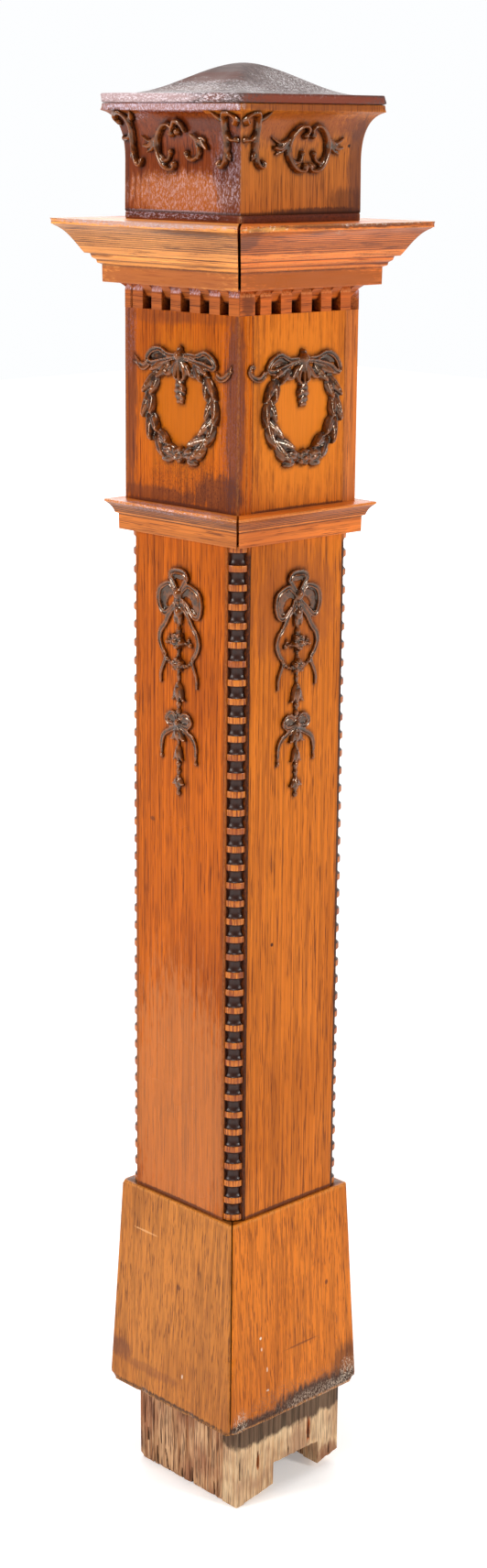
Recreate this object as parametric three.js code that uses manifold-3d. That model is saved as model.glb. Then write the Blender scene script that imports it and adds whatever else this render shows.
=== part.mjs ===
// A hollow oak newel post with turned corner rods, a crown cornice, a coved cap and applied cast ornaments.
// Millimetres, +Z up, origin on the floor under the middle of the post.
// The front face looks along -Y, the right face along +X, the back along +Y and the left along -X.
import * as THREE from 'three';
import { mergeVertices } from 'three/addons/utils/BufferGeometryUtils.js';
import Module from 'manifold-3d';

const wasm = await Module();
wasm.setup();

// Driving sizes: half widths are measured from the post's axis
const POST_HALF = 76.2;
const BOARD = 17;
const BORE_HALF = POST_HALF - BOARD;
const FOOT_TOP = 88;
const BASE_TOP = 306;
const NECK_BOTTOM = 965;
const NECK_TOP = 994;
const FRIEZE_TOP = 1170.3;
const CORNICE_BOTTOM = 1193;
const CORNICE_TOP = 1250;
const CAP_BOTTOM = 1256.7;
const CAP_TOP = 1351.7;
const LID_BOTTOM = 1352;
const SLAB_TOP = 1360.5;
const TOTAL_HEIGHT = 1388;
const MITRE_GAP = 0.21;
const OPEN_MITRE_GAP = 1.8;

const OAK = { color: 0x9a5c22, roughness: 0.38, metalness: 0 };
const CAP_OAK = { color: 0x8a4318, roughness: 0.35, metalness: 0 };
const RAW_WOOD = { color: 0x8d6b49, roughness: 0.85, metalness: 0 };
const COMPOSITION = { color: 0x2e1a10, roughness: 0.22, metalness: 0 };

const newel = new THREE.Group();

// The four sides, each a group turned a quarter further round the axis
const SIDE_NAMES = ['front', 'right', 'back', 'left'];
const sides = SIDE_NAMES.map((name, quarter) => {
  const side = new THREE.Group();
  side.rotation.z = quarter * Math.PI / 2;
  newel.add(side);
  return { name, side };
});

function place(parent, name, geometry, finish, [x, y, z] = [0, 0, 0]) {
  geometry.computeVertexNormals();
  const mesh = new THREE.Mesh(geometry, new THREE.MeshStandardMaterial(finish));
  mesh.name = name;
  mesh.position.set(x, y, z);
  parent.add(mesh);
}

// A welded copy of a geometry, with no flat triangles left, as an indexed position mesh
function weld(geometry) {
  const bare = geometry.clone();
  bare.deleteAttribute('normal');
  bare.deleteAttribute('uv');
  const welded = mergeVertices(bare, 1e-4);
  const corners = Array.from(welded.index.array);
  const kept = [];
  for (let i = 0; i < corners.length; i += 3) {
    const [a, b, c] = corners.slice(i, i + 3);
    if (a !== b && b !== c && c !== a) kept.push(a, b, c);
  }
  welded.setIndex(kept);
  return welded;
}

function toSolid(geometry) {
  const welded = weld(geometry);
  return new wasm.Manifold(new wasm.Mesh({
    numProp: 3,
    vertProperties: Float32Array.from(welded.attributes.position.array),
    triVerts: Uint32Array.from(welded.index.array),
  }));
}

function toGeometry(solid) {
  const { vertProperties, triVerts } = solid.getMesh();
  const geometry = new THREE.BufferGeometry();
  geometry.setAttribute('position', new THREE.Float32BufferAttribute(vertProperties, 3));
  geometry.setIndex(Array.from(triVerts));
  return geometry;
}

function join(geometries) {
  return toGeometry(geometries.map(toSolid).reduce((whole, piece) => whole.add(piece)));
}

function box([x0, y0, z0], [x1, y1, z1]) {
  const block = new THREE.BoxGeometry(x1 - x0, y1 - y0, z1 - z0);
  return block.translate((x0 + x1) / 2, (y0 + y1) / 2, (z0 + z1) / 2);
}

function shapeOf(outline) {
  return new THREE.Shape(outline.map(([x, y]) => new THREE.Vector2(x, y)));
}

// One mitred length of moulding on the front side: the section's first number is the distance out from the
// axis and its second the height, and each end slants at 45 degrees, short of the mitre by its gap.
function mitredLength(section, leftGap, rightGap) {
  const bar = new THREE.ExtrudeGeometry(shapeOf(section), { depth: 1, bevelEnabled: false });
  const at = bar.attributes.position;
  for (let i = 0; i < at.count; i += 1) {
    const out = at.getX(i);
    const along = at.getZ(i) > 0.5 ? leftGap - out : out - rightGap;
    at.setXYZ(i, along, -out, at.getY(i));
  }
  return bar;
}

// The corner between the front and the right side is the one that has opened
function endGaps(name, openGap) {
  return [name === 'right' ? openGap : MITRE_GAP, name === 'front' ? openGap : MITRE_GAP];
}

function curvePoints(curve, count) {
  return curve.getPoints(count).map(({ x, y }) => [x, y]);
}

// Foot: a rough box of four boards, worn and notched along the lower edge of the right one
const FOOT_BOARD = 21;
const FOOT = { left: -65, right: 79.5, front: -70, back: 73.5 };
const NOTCH = { front: -19, back: 44.7, top: 30 };
const FRONT_TOE = { end: -60, rise: 6.8 };
const BACK_TOE = { inner: 5, outer: 11 };

function buildFoot() {
  const inner = {
    left: FOOT.left + FOOT_BOARD,
    right: FOOT.right - FOOT_BOARD,
    front: FOOT.front + FOOT_BOARD,
    back: FOOT.back - FOOT_BOARD,
  };
  const notched = new THREE.ExtrudeGeometry(shapeOf([
    [FOOT.front, 0],
    [FRONT_TOE.end, 0],
    [NOTCH.front, FRONT_TOE.rise],
    [NOTCH.front, NOTCH.top],
    [NOTCH.back, NOTCH.top],
    [NOTCH.back, BACK_TOE.inner],
    [FOOT.back, BACK_TOE.outer],
    [FOOT.back, FOOT_TOP],
    [FOOT.front, FOOT_TOP],
  ]), { depth: FOOT_BOARD, bevelEnabled: false });
  notched.rotateX(Math.PI / 2).rotateZ(Math.PI / 2);
  place(newel, 'foot_board_right', notched, RAW_WOOD, [inner.right, 0, 0]);
  const whole = {
    left: box([FOOT.left, FOOT.front, 0], [inner.left, FOOT.back, FOOT_TOP]),
    front: box([inner.left, FOOT.front, 0], [inner.right, inner.front, FOOT_TOP]),
    back: box([inner.left, inner.back, 0], [inner.right, FOOT.back, FOOT_TOP]),
  };
  for (const [name, board] of Object.entries(whole)) {
    place(newel, `foot_board_${name}`, board, RAW_WOOD);
  }
}

// Base: four boards that taper upwards, with a flat top edge for the post and the rods to stand on
const BASE_HALF_BOTTOM = 89.5;
const BASE_HALF_TOP = 80;
const BASE_INNER = 58.5;

function buildBase() {
  const section = [
    [BASE_INNER, FOOT_TOP],
    [BASE_HALF_BOTTOM, FOOT_TOP],
    [BASE_HALF_TOP, BASE_TOP],
    [BASE_INNER, BASE_TOP],
  ];
  for (const { name, side } of sides) {
    place(side, `base_board_${name}`, mitredLength(section, ...endGaps(name, 0.9)), OAK);
  }
}

// Post: full-width boards at the front and back and narrower ones between them. The corners are rebated for
// the rods up to the necking, and the necking is let into a shallow seat that runs all round.
const REBATE = 14;
const SEAT_HALF = POST_HALF - 0.6;

function buildPost() {
  const face = POST_HALF - REBATE;
  const past = POST_HALF + 1;
  for (const { name, side } of sides) {
    const fullWidth = name === 'front' || name === 'back';
    const half = fullWidth ? POST_HALF : BORE_HALF;
    const cuts = [box([-past, -past, NECK_BOTTOM], [past, -SEAT_HALF, NECK_TOP])];
    if (fullWidth) {
      cuts.push(
        box([face, -past, BASE_TOP - 1], [past, -face, NECK_BOTTOM]),
        box([-past, -past, BASE_TOP - 1], [-face, -face, NECK_BOTTOM]),
        box([SEAT_HALF, -past, NECK_BOTTOM], [past, 0, NECK_TOP]),
        box([-past, -past, NECK_BOTTOM], [-SEAT_HALF, 0, NECK_TOP]),
      );
    }
    const whole = toSolid(box([-half, -POST_HALF, BASE_TOP], [half, -BORE_HALF, FRIEZE_TOP]));
    const board = cuts.map(toSolid).reduce((rest, cut) => rest.subtract(cut), whole);
    place(side, `post_board_${name}`, toGeometry(board), OAK);
  }
}

// Corner rods: a quarter of a turned rod whose flat bands alternate with coves
const ROD_RADIUS = 12.2;
const ROD_PITCH = 17.62;
const ROD_BAND = 5.9;
const ROD_BANDS = 38;
const COVE_DEPTH = 2.8;

function buildRods() {
  const profile = [[0, NECK_BOTTOM]];
  for (let band = 0; band < ROD_BANDS; band += 1) {
    const top = NECK_BOTTOM - band * ROD_PITCH;
    const coveMiddle = top - (ROD_BAND + ROD_PITCH) / 2;
    profile.push([ROD_RADIUS, top], [ROD_RADIUS, top - ROD_BAND]);
    if (coveMiddle > BASE_TOP) profile.push([ROD_RADIUS - COVE_DEPTH, coveMiddle]);
  }
  profile.push([ROD_RADIUS, BASE_TOP], [0, BASE_TOP]);
  const turned = new THREE.LatheGeometry(profile.reverse().map(([r, z]) => new THREE.Vector2(r, z)), 8);
  turned.rotateX(Math.PI / 2);
  const quarter = box([0, -ROD_RADIUS - 1, BASE_TOP - 1], [ROD_RADIUS + 1, 0, NECK_BOTTOM + 1]);
  const rod = toGeometry(toSolid(turned).intersect(toSolid(quarter)));
  const middle = POST_HALF - REBATE;
  sides.forEach(({ name, side }, i) => {
    const next = SIDE_NAMES[(i + 1) % SIDE_NAMES.length];
    place(side, `corner_rod_${name}_${next}`, rod.clone(), OAK, [middle, -middle, 0]);
  });
}

// Necking: a small ogee moulding that covers the tops of the rods
function buildNecking() {
  const ogee = new THREE.QuadraticBezierCurve(
    new THREE.Vector2(83.5, 980.5),
    new THREE.Vector2(85, 987),
    new THREE.Vector2(90.5, 991),
  );
  const section = [
    [SEAT_HALF, NECK_BOTTOM],
    [80.8, NECK_BOTTOM],
    [81, 979.5],
    ...curvePoints(ogee, 3),
    [90.5, 993],
    [POST_HALF, NECK_TOP],
    [SEAT_HALF, NECK_TOP],
  ];
  for (const { name, side } of sides) {
    place(side, `necking_${name}`, mitredLength(section, ...endGaps(name, 1.5)), OAK);
  }
}

// Dentil strips: blocks flush with the frieze, and between them tongues that curl out over a deep notch
const DENTIL_PITCH = 25.6;
const DENTIL_WIDTH = 14;
const DENTIL_ROOT = 66;
const TONGUE_FOOT = 1180.4;

function extrudeAlong(section, from, to) {
  const bar = new THREE.ExtrudeGeometry(shapeOf(section), { depth: 1, bevelEnabled: false });
  const at = bar.attributes.position;
  for (let i = 0; i < at.count; i += 1) {
    at.setXYZ(i, at.getZ(i) > 0.5 ? from : to, -at.getX(i), at.getY(i));
  }
  return bar;
}

function dentilStrip(name) {
  const inside = DENTIL_ROOT - 2;
  const back = [
    [BORE_HALF, FRIEZE_TOP],
    [DENTIL_ROOT, FRIEZE_TOP],
    [DENTIL_ROOT, CORNICE_BOTTOM],
    [BORE_HALF, CORNICE_BOTTOM],
  ];
  const block = [
    [inside, FRIEZE_TOP],
    [POST_HALF, FRIEZE_TOP],
    [POST_HALF, 1185.8],
    [POST_HALF - 1.3, 1189.6],
    [POST_HALF - 5.2, CORNICE_BOTTOM],
    [inside, CORNICE_BOTTOM],
  ];
  const tongue = [
    [inside, TONGUE_FOOT],
    [POST_HALF - 2.5, TONGUE_FOOT],
    [POST_HALF + 0.8, 1186],
    [POST_HALF + 4.3, CORNICE_BOTTOM],
    [inside, CORNICE_BOTTOM],
  ];
  const firstBlock = name === 'front' ? -58.4 : -43.8;
  const centres = [0, 1, 2, 3, 4].map((count) => firstBlock + count * DENTIL_PITCH);
  const lastEdge = centres[4] + DENTIL_WIDTH / 2;
  const firstEdge = centres[0] - DENTIL_WIDTH / 2;
  const pieces = [];
  for (const middle of centres) {
    pieces.push(extrudeAlong(block, middle - DENTIL_WIDTH / 2, middle + DENTIL_WIDTH / 2));
    if (middle !== centres[4]) {
      pieces.push(extrudeAlong(tongue, middle + DENTIL_WIDTH / 2, middle + DENTIL_PITCH - DENTIL_WIDTH / 2));
    }
  }
  if (name === 'front') {
    pieces.push(extrudeAlong(block, -POST_HALF - 3, firstEdge - 2.8));
    pieces.push(extrudeAlong(tongue, firstEdge - 2.8, firstEdge));
    pieces.push(extrudeAlong(tongue, lastEdge, 62.1));
    pieces.push(extrudeAlong(block, 62.1, POST_HALF + 3));
  } else {
    pieces.push(extrudeAlong(block, -POST_HALF - 3, -57));
    pieces.push(extrudeAlong(tongue, -57, firstEdge));
    pieces.push(extrudeAlong(block, lastEdge, POST_HALF + 3));
  }
  const reach = [
    [BORE_HALF - 1, FRIEZE_TOP - 1],
    [POST_HALF + 8, FRIEZE_TOP - 1],
    [POST_HALF + 8, CORNICE_BOTTOM + 1],
    [BORE_HALF - 1, CORNICE_BOTTOM + 1],
  ];
  const mitres = toSolid(mitredLength(reach, MITRE_GAP, MITRE_GAP));
  const backing = toSolid(mitredLength(back, MITRE_GAP, MITRE_GAP));
  const whole = pieces.map(toSolid).reduce((sum, piece) => sum.add(piece), backing);
  return toGeometry(whole.intersect(mitres));
}

function buildDentils() {
  for (const { name, side } of sides) {
    place(side, `dentil_strip_${name}`, dentilStrip(name === 'back' ? 'front' : name), OAK);
  }
}

// Cornice: a flat fascia, small beads, a wide crown curve and a top fillet
function buildCornice() {
  const crown = new THREE.CubicBezierCurve(
    new THREE.Vector2(102.8, 1219),
    new THREE.Vector2(109, 1228),
    new THREE.Vector2(114, 1241),
    new THREE.Vector2(125.5, 1245),
  );
  const section = [
    [BORE_HALF, CORNICE_BOTTOM],
    [91.1, CORNICE_BOTTOM],
    [91.3, 1208.8],
    [94.6, 1210.3],
    [95.1, 1213],
    [98, 1215],
    [99, 1218.5],
    ...curvePoints(crown, 6),
    [125.5, CORNICE_TOP],
    [BORE_HALF, CORNICE_TOP],
  ];
  for (const { name, side } of sides) {
    place(side, `cornice_${name}`, mitredLength(section, ...endGaps(name, OPEN_MITRE_GAP)), OAK);
  }
}

// Cap: a thin base board, a box of thick boards with a cove at the top, and a lid with a low ogee dome
const CAP_HALF = 76;
const CAP_BOARD = 34;
const COVE_FOOT = 1301;
const COVE_TOP = 1345.5;
const COVE_REACH = 16;
const COVE_PULL = 40;

// How far the cap's face stands out past its flat part at a given height
function coveOut(z) {
  if (z <= COVE_FOOT) return 0;
  const bend = COVE_TOP - COVE_FOOT - 2 * COVE_PULL;
  const climb = Math.min(z, COVE_TOP) - COVE_FOOT;
  const t = (Math.sqrt(COVE_PULL ** 2 + bend * climb) - COVE_PULL) / bend;
  return COVE_REACH * t * t;
}

function buildCap() {
  const baseBoard = box([-CAP_HALF, -CAP_HALF, CORNICE_TOP], [CAP_HALF, CAP_HALF, CAP_BOTTOM]);
  place(newel, 'cap_base_board', baseBoard, CAP_OAK);
  const cove = new THREE.QuadraticBezierCurve(
    new THREE.Vector2(CAP_HALF, COVE_FOOT),
    new THREE.Vector2(CAP_HALF, COVE_FOOT + COVE_PULL),
    new THREE.Vector2(CAP_HALF + COVE_REACH, COVE_TOP),
  );
  const outline = [
    [0, CAP_BOTTOM],
    [CAP_HALF, CAP_BOTTOM],
    ...curvePoints(cove, 7),
    [CAP_HALF + COVE_REACH, CAP_TOP],
    [0, CAP_TOP],
  ];
  const corners = outline.map(([half, z]) => new THREE.Vector2(half * Math.SQRT2, z));
  const block = new THREE.LatheGeometry(corners, 4, Math.PI / 4);
  block.rotateX(Math.PI / 2);
  const coved = toSolid(block);
  const bore = CAP_HALF - CAP_BOARD;
  const outside = 120;
  const rooms = {
    right: [[bore, -outside, 1200], [outside, outside, 1400]],
    left: [[-outside, -outside, 1200], [-bore, outside, 1400]],
    front: [[-bore, -outside, 1200], [bore, -bore, 1400]],
    back: [[-bore, bore, 1200], [bore, outside, 1400]],
  };
  for (const [name, [low, high]] of Object.entries(rooms)) {
    place(newel, `cap_board_${name}`, toGeometry(coved.intersect(toSolid(box(low, high)))), CAP_OAK);
  }
}

// A closed loft through rings of points, with both ends filled by a fan
function loft(rings) {
  const count = rings[0].length;
  const corners = rings.flat();
  const index = [];
  for (let ring = 0; ring + 1 < rings.length; ring += 1) {
    for (let i = 0; i < count; i += 1) {
      const a = ring * count + i;
      const b = ring * count + (i + 1) % count;
      index.push(a, b, b + count, a, b + count, a + count);
    }
  }
  const last = (rings.length - 1) * count;
  for (let i = 1; i + 1 < count; i += 1) {
    index.push(0, i + 1, i, last, last + i, last + i + 1);
  }
  const geometry = new THREE.BufferGeometry();
  geometry.setAttribute('position', new THREE.Float32BufferAttribute(corners.flat(), 3));
  geometry.setIndex(index);
  return geometry;
}

const LID_HALF = 92.7;
const DOME_HALF = 78;
const LID_RINGS = [64, 52, 40, 28, 18, 9];

function buildLid() {
  const quarterAngles = [0, 41, 45, 49];
  const ring = (half, z, squareness) => [0, 1, 2, 3].flatMap((quarter) => quarterAngles.map((degrees) => {
    const angle = (degrees + 90 * quarter) * Math.PI / 180;
    const cosine = Math.cos(angle);
    const sine = Math.sin(angle);
    const spread = (Math.abs(cosine) ** squareness + Math.abs(sine) ** squareness) ** (1 / squareness);
    return [half * cosine / spread, half * sine / spread, z];
  }));
  const rise = TOTAL_HEIGHT - SLAB_TOP;
  const dome = (half) => SLAB_TOP + rise * THREE.MathUtils.smoothstep(1 - half / DOME_HALF, 0, 1);
  const rings = [
    ring(LID_HALF - 3.2, LID_BOTTOM, 40),
    ring(LID_HALF, LID_BOTTOM + 2.5, 40),
    ring(LID_HALF, LID_BOTTOM + 6, 40),
    ring(LID_HALF - 1.7, SLAB_TOP, 40),
    ...LID_RINGS.map((half) => ring(half, dome(half), 6 + half / 6)),
    ring(0, TOTAL_HEIGHT, 4),
  ];
  place(newel, 'lid', weld(loft(rings)), CAP_OAK);
}

// Applied ornaments: drawn on a face as u across and z up, flat behind and ridged towards the viewer

// A ridged band through stations, each with its place, its way onward, its half width and its rise
function band(stations) {
  return loft(stations.map(({ at: [u, z], way: [du, dz], half, rise }) => [
    [u - dz * half, 0, z + du * half],
    [u, half > 0 ? -rise : 0, z],
    [u + dz * half, 0, z - du * half],
  ]));
}

function strap(points, halfWidth, rise, steps) {
  const path = new THREE.SplineCurve(points.map(([u, z]) => new THREE.Vector2(u, z)));
  return band(Array.from({ length: steps + 1 }, (_, i) => {
    const at = path.getPoint(i / steps);
    const way = path.getTangent(i / steps);
    return { at: [at.x, at.y], way: [way.x, way.y], half: halfWidth(i / steps), rise };
  }));
}

const even = (half) => () => half;
const tapered = (half) => (t) => half * (1 - t);
const swelled = (half) => (t) => half * (0.55 + 0.45 * Math.sin(Math.PI * t));
const leafy = (half) => (t) => (t === 0 || t === 1 ? 0 : half);

function leaf(root, tip, half, rise) {
  return strap([root, tip], leafy(half), rise, 2);
}

// A round boss: a knot or a flower
function boss([u, z], radius, rise, cornersRound) {
  const outline = [[0, 0], [radius, 0], [radius * 0.6, rise * 0.85], [0, rise]];
  const dome = new THREE.LatheGeometry(outline.map(([r, h]) => new THREE.Vector2(r, h)), cornersRound);
  return dome.rotateX(Math.PI).translate(u, 0, z);
}

// Drop: a ribbon bow with hanging tails on a straight stem of buds, flowers, bellflowers and beads
const STEM_TOP = 916;
const STEM_END = 719;
const STEM_HALF = 1.3;
const SWELLINGS = [
  { kind: 'bud', z: 892, long: 21, half: 5.2, rise: 5 },
  { kind: 'flower', z: 869, long: 13, half: 6.6, rise: 5 },
  { kind: 'flower', z: 847, long: 12, half: 6, rise: 5 },
  { kind: 'bell', z: 820.5, long: 14, half: 9.2, rise: 4.8 },
  { kind: 'bead', z: 809, long: 7, half: 3.2, rise: 3.4 },
  { kind: 'bead', z: 801, long: 6, half: 3, rise: 3.4 },
  { kind: 'flower', z: 790, long: 10, half: 4.6, rise: 5.4 },
  { kind: 'bell', z: 778, long: 12, half: 9.4, rise: 4.6 },
  { kind: 'bell', z: 763, long: 12, half: 7, rise: 4.2 },
  { kind: 'bead', z: 751, long: 6, half: 2.8, rise: 3.2 },
  { kind: 'bead', z: 743.5, long: 6, half: 2.8, rise: 3.2 },
  { kind: 'bud', z: 729, long: 17, half: 7.6, rise: 4.2 },
];
const FORMS = {
  bead: [[0.5, 0], [0, 1], [-0.5, 0]],
  bud: [[0.5, 0], [0.1, 1], [-0.5, 0]],
  flower: [[0.5, 0], [0.3, 0.9], [-0.3, 0.9], [-0.5, 0]],
  bell: [[0.5, 0], [0.1, 0.45], [-0.45, 1], [-0.5, 0]],
};

function dropStem() {
  const down = [0, -1];
  const stations = [{ at: [0, STEM_TOP], way: down, half: STEM_HALF, rise: STEM_HALF }];
  for (const { kind, z, long, half, rise } of SWELLINGS) {
    for (const [along, share] of FORMS[kind]) {
      const height = z + along * long;
      if (height < stations.at(-1).at[1] - 0.2) {
        stations.push({
          at: [0, height],
          way: down,
          half: STEM_HALF + share * (half - STEM_HALF),
          rise: STEM_HALF + share * (rise - STEM_HALF),
        });
      }
    }
  }
  stations.push({ at: [0, STEM_END], way: down, half: 0, rise: 0 });
  return band(stations);
}

function drop() {
  const pieces = [
    dropStem(),
    strap([[-13, 930], [0, 937], [13, 930]], even(3.2), 4, 2),
    boss([0, 914], 5.5, 6, 5),
  ];
  for (const side of [-1, 1]) {
    const flip = ([u, z]) => [side * u, z];
    const wing = [[12, 931], [27, 920], [31, 906], [26, 893], [11, 902], [2, 912]].map(flip);
    const tail = [[9, 899], [22, 880], [27, 870], [19, 855], [20, 846], [25, 829]].map(flip);
    pieces.push(strap([[11, 932], [1, 914]].map(flip), even(2.6), 3, 1));
    pieces.push(strap(wing, even(3), 3.4, 6));
    pieces.push(strap(tail, tapered(4.2), 2.6, 6));
    pieces.push(strap([[17, 866], [5, 869]].map(flip), even(3.2), 3.4, 1));
    pieces.push(strap([[19, 851], [5, 846]].map(flip), even(2.2), 2.6, 1));
    pieces.push(strap([[2, 794], [11, 799], [17, 793], [11, 788], [2, 790]].map(flip), even(2), 2.6, 4));
    pieces.push(strap([[4, 788], [20, 778], [23, 754]].map(flip), tapered(3), 2.2, 3));
  }
  return join(pieces);
}

// Wreath: laurel leaves in pairs down both sides, flowers below, a ribbon bow and a bell flower above
const RING_RADIUS = 44;
const RING_START = 16;
const LEAF_PAIRS = 6;
const ROOT_HALF = 4.6;
const TIP_HALF = 10;

function laurel(side) {
  const stations = [];
  const pairAngle = (184 - RING_START) / LEAF_PAIRS;
  const station = (degrees, half, rise) => {
    const angle = side * degrees * Math.PI / 180;
    const at = [RING_RADIUS * Math.sin(angle), RING_RADIUS * Math.cos(angle)];
    stations.push({ at, way: [side * Math.cos(angle), -side * Math.sin(angle)], half, rise });
  };
  for (let pair = 0; pair < LEAF_PAIRS; pair += 1) {
    const root = RING_START + pair * pairAngle;
    station(root, ROOT_HALF, 2.4);
    station(root + pairAngle * 0.5, TIP_HALF - 1.6, 4);
    station(root + pairAngle * 0.93, TIP_HALF, 4.4);
  }
  return band(stations);
}

function wreath(rightTail) {
  const pieces = [
    laurel(-1),
    laurel(1),
    boss([0, 45.5], 6, 6.5, 6),
    boss([0, -44], 9, 6, 7),
    strap([[0, 42], [0, 3]], (t) => (t === 1 ? 0 : 9 - 6 * t), 6, 3),
  ];
  for (const side of [-1, 1]) {
    const flip = ([u, z]) => [side * u, z];
    pieces.push(boss([17 * side, -43], 7.5, 5, 5));
    pieces.push(strap([[2, 49], [30, 51], [44, 43]].map(flip), even(3.2), 3.2, 3));
    pieces.push(strap([[2, 43], [32, 35], [45, 41]].map(flip), even(3.2), 3, 3));
    pieces.push(leaf([0, 38], [18 * side, 29], 4.6, 4));
    if (side < 0 || rightTail) {
      pieces.push(strap([[40, 38], [51, 32], [64, 40]].map(flip), tapered(4.4), 2.6, 3));
    }
  }
  return join(pieces);
}

// Cap scrolls and corner brackets: C-scrolls whose backs follow the cove, just clear of it
const COVE_GAP = 0.3;

function fitToCove(geometry, lift = 0) {
  const at = geometry.attributes.position;
  for (let i = 0; i < at.count; i += 1) {
    at.setY(i, at.getY(i) - coveOut(at.getZ(i) + lift) - COVE_GAP);
  }
  return geometry;
}

const C_SCROLL = [
  [5, 1323], [2, 1328], [8, 1331], [18, 1328], [25, 1319], [24, 1311], [20, 1301], [12, 1294], [3, 1297],
];
const INNER_CURL = [[20, 1304], [11, 1303], [6, 1309]];
const LEAF_TIP = [43, 1316];

function scrollHalf(side) {
  const flip = ([u, z]) => [side * u, z];
  return [
    strap(C_SCROLL.map(flip), swelled(3.6), 4.5, 10),
    strap(INNER_CURL.map(flip), tapered(3), 3.6, 3),
    leaf(flip([22, 1312]), flip(LEAF_TIP), 4.6, 4),
  ];
}

const BRACKET_STEM = [
  [75, 1336], [69, 1341], [63, 1339], [60.5, 1330], [61, 1318],
  [61, 1308], [58, 1300], [52, 1297], [48, 1303],
];

function cornerBracket(side) {
  const flip = ([u, z]) => [side * u, z];
  return fitToCove(join([
    strap(BRACKET_STEM.map(flip), swelled(3.4), 5, 10),
    strap([[61, 1325], [67, 1321], [73, 1320]].map(flip), even(2.6), 3.6, 2),
  ]));
}

const WREATH_PLACES = { front: [1.3, 1086], right: [2.4, 1084.5] };
const BRACKETS = { front: { left: -1, right: 1 }, right: { front: -1 }, left: { front: 1 } };
const SCROLL_MIDDLE = { front: -3.5, right: 4.5 };
const FRONT_SCROLL_LIFT = 2;

function buildOrnaments() {
  const onCap = (u, z) => [u, -CAP_HALF, z];
  for (const { name, side } of sides) {
    if (name in WREATH_PLACES) {
      const [u, z] = WREATH_PLACES[name];
      place(side, `wreath_${name}`, wreath(name === 'front'), COMPOSITION, [u, -POST_HALF, z]);
      place(side, `drop_${name}`, drop(), COMPOSITION, [0, -POST_HALF, 0]);
    }
    for (const [end, way] of Object.entries(BRACKETS[name] ?? {})) {
      place(side, `bracket_${name}_${end}`, cornerBracket(way), COMPOSITION, onCap(0, 0));
    }
  }
  const [front, right] = sides.map(({ side }) => side);
  const whole = fitToCove(join([...scrollHalf(-1), ...scrollHalf(1)]));
  place(right, 'cap_scroll_right', whole, COMPOSITION, onCap(SCROLL_MIDDLE.right, 0));
  const kept = fitToCove(join([
    ...scrollHalf(-1),
    strap([[-4, 1328], [4, 1328]], even(2.4), 3, 1),
    strap([[5, 1323], [2, 1328], [8, 1331], [14, 1327]], swelled(3.4), 4.5, 5),
  ]), FRONT_SCROLL_LIFT);
  place(front, 'cap_scroll_front', kept, COMPOSITION, onCap(SCROLL_MIDDLE.front, FRONT_SCROLL_LIFT));
  const fragment = fitToCove(join([
    leaf([22, 1322], [39, 1312], 5, 4),
    strap([[24, 1318], [24, 1305], [14, 1304], [10, 1309]], swelled(3), 3.8, 5),
  ]));
  place(front, 'cap_scroll_front_fragment', fragment, COMPOSITION, onCap(SCROLL_MIDDLE.front, 0));
}

buildFoot();
buildBase();
buildPost();
buildRods();
buildNecking();
buildDentils();
buildCornice();
buildCap();
buildLid();
buildOrnaments();

export default newel;
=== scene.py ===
import math

import bmesh
import bpy
import numpy as np
from mathutils import Matrix, Vector


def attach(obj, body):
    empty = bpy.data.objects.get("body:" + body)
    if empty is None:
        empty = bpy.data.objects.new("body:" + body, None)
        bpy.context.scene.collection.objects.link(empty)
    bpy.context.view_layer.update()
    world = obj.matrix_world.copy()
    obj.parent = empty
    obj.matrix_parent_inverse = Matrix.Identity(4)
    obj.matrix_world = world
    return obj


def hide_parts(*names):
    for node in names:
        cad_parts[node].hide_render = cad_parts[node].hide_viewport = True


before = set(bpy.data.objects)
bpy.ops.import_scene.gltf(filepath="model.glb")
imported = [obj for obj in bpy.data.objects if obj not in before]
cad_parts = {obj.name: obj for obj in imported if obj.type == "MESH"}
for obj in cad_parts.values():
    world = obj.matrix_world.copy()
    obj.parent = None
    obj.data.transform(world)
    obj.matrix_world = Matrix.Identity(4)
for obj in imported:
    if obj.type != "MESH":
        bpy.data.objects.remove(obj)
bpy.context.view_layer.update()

# Viewpoint: the photograph looks slightly down on the front right corner of the post from 2.4 metres off,
# with a moderately long lens. Sizes in this file are millimetres unless they say metres.
LENS_MM = 58.42
CAMERA_METRES = (1.7090, -1.6514, 1.3347)
YAW, PITCH, ROLL = (math.radians(angle) for angle in (45.85, -14.55, 0.51))

ahead = Vector((-math.sin(YAW) * math.cos(PITCH), math.cos(YAW) * math.cos(PITCH), math.sin(PITCH)))
level = Vector((math.cos(YAW), math.sin(YAW), 0.0))
upright = level.cross(ahead)
across = level * math.cos(ROLL) + upright * math.sin(ROLL)
over = upright * math.cos(ROLL) - level * math.sin(ROLL)


def added(name, data):
    """A new object in the scene."""
    item = bpy.data.objects.new(name, data)
    bpy.context.scene.collection.objects.link(item)
    return item


camera_data = bpy.data.cameras.new("viewpoint")
camera_data.lens = LENS_MM
camera_data.sensor_width = 36.0
camera = added("viewpoint", camera_data)
aim = Matrix((across, over, -ahead)).transposed().to_4x4()
camera.matrix_world = Matrix.Translation(CAMERA_METRES) @ aim
bpy.context.scene.camera = camera
bpy.context.scene.view_settings.view_transform = "Standard"

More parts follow.
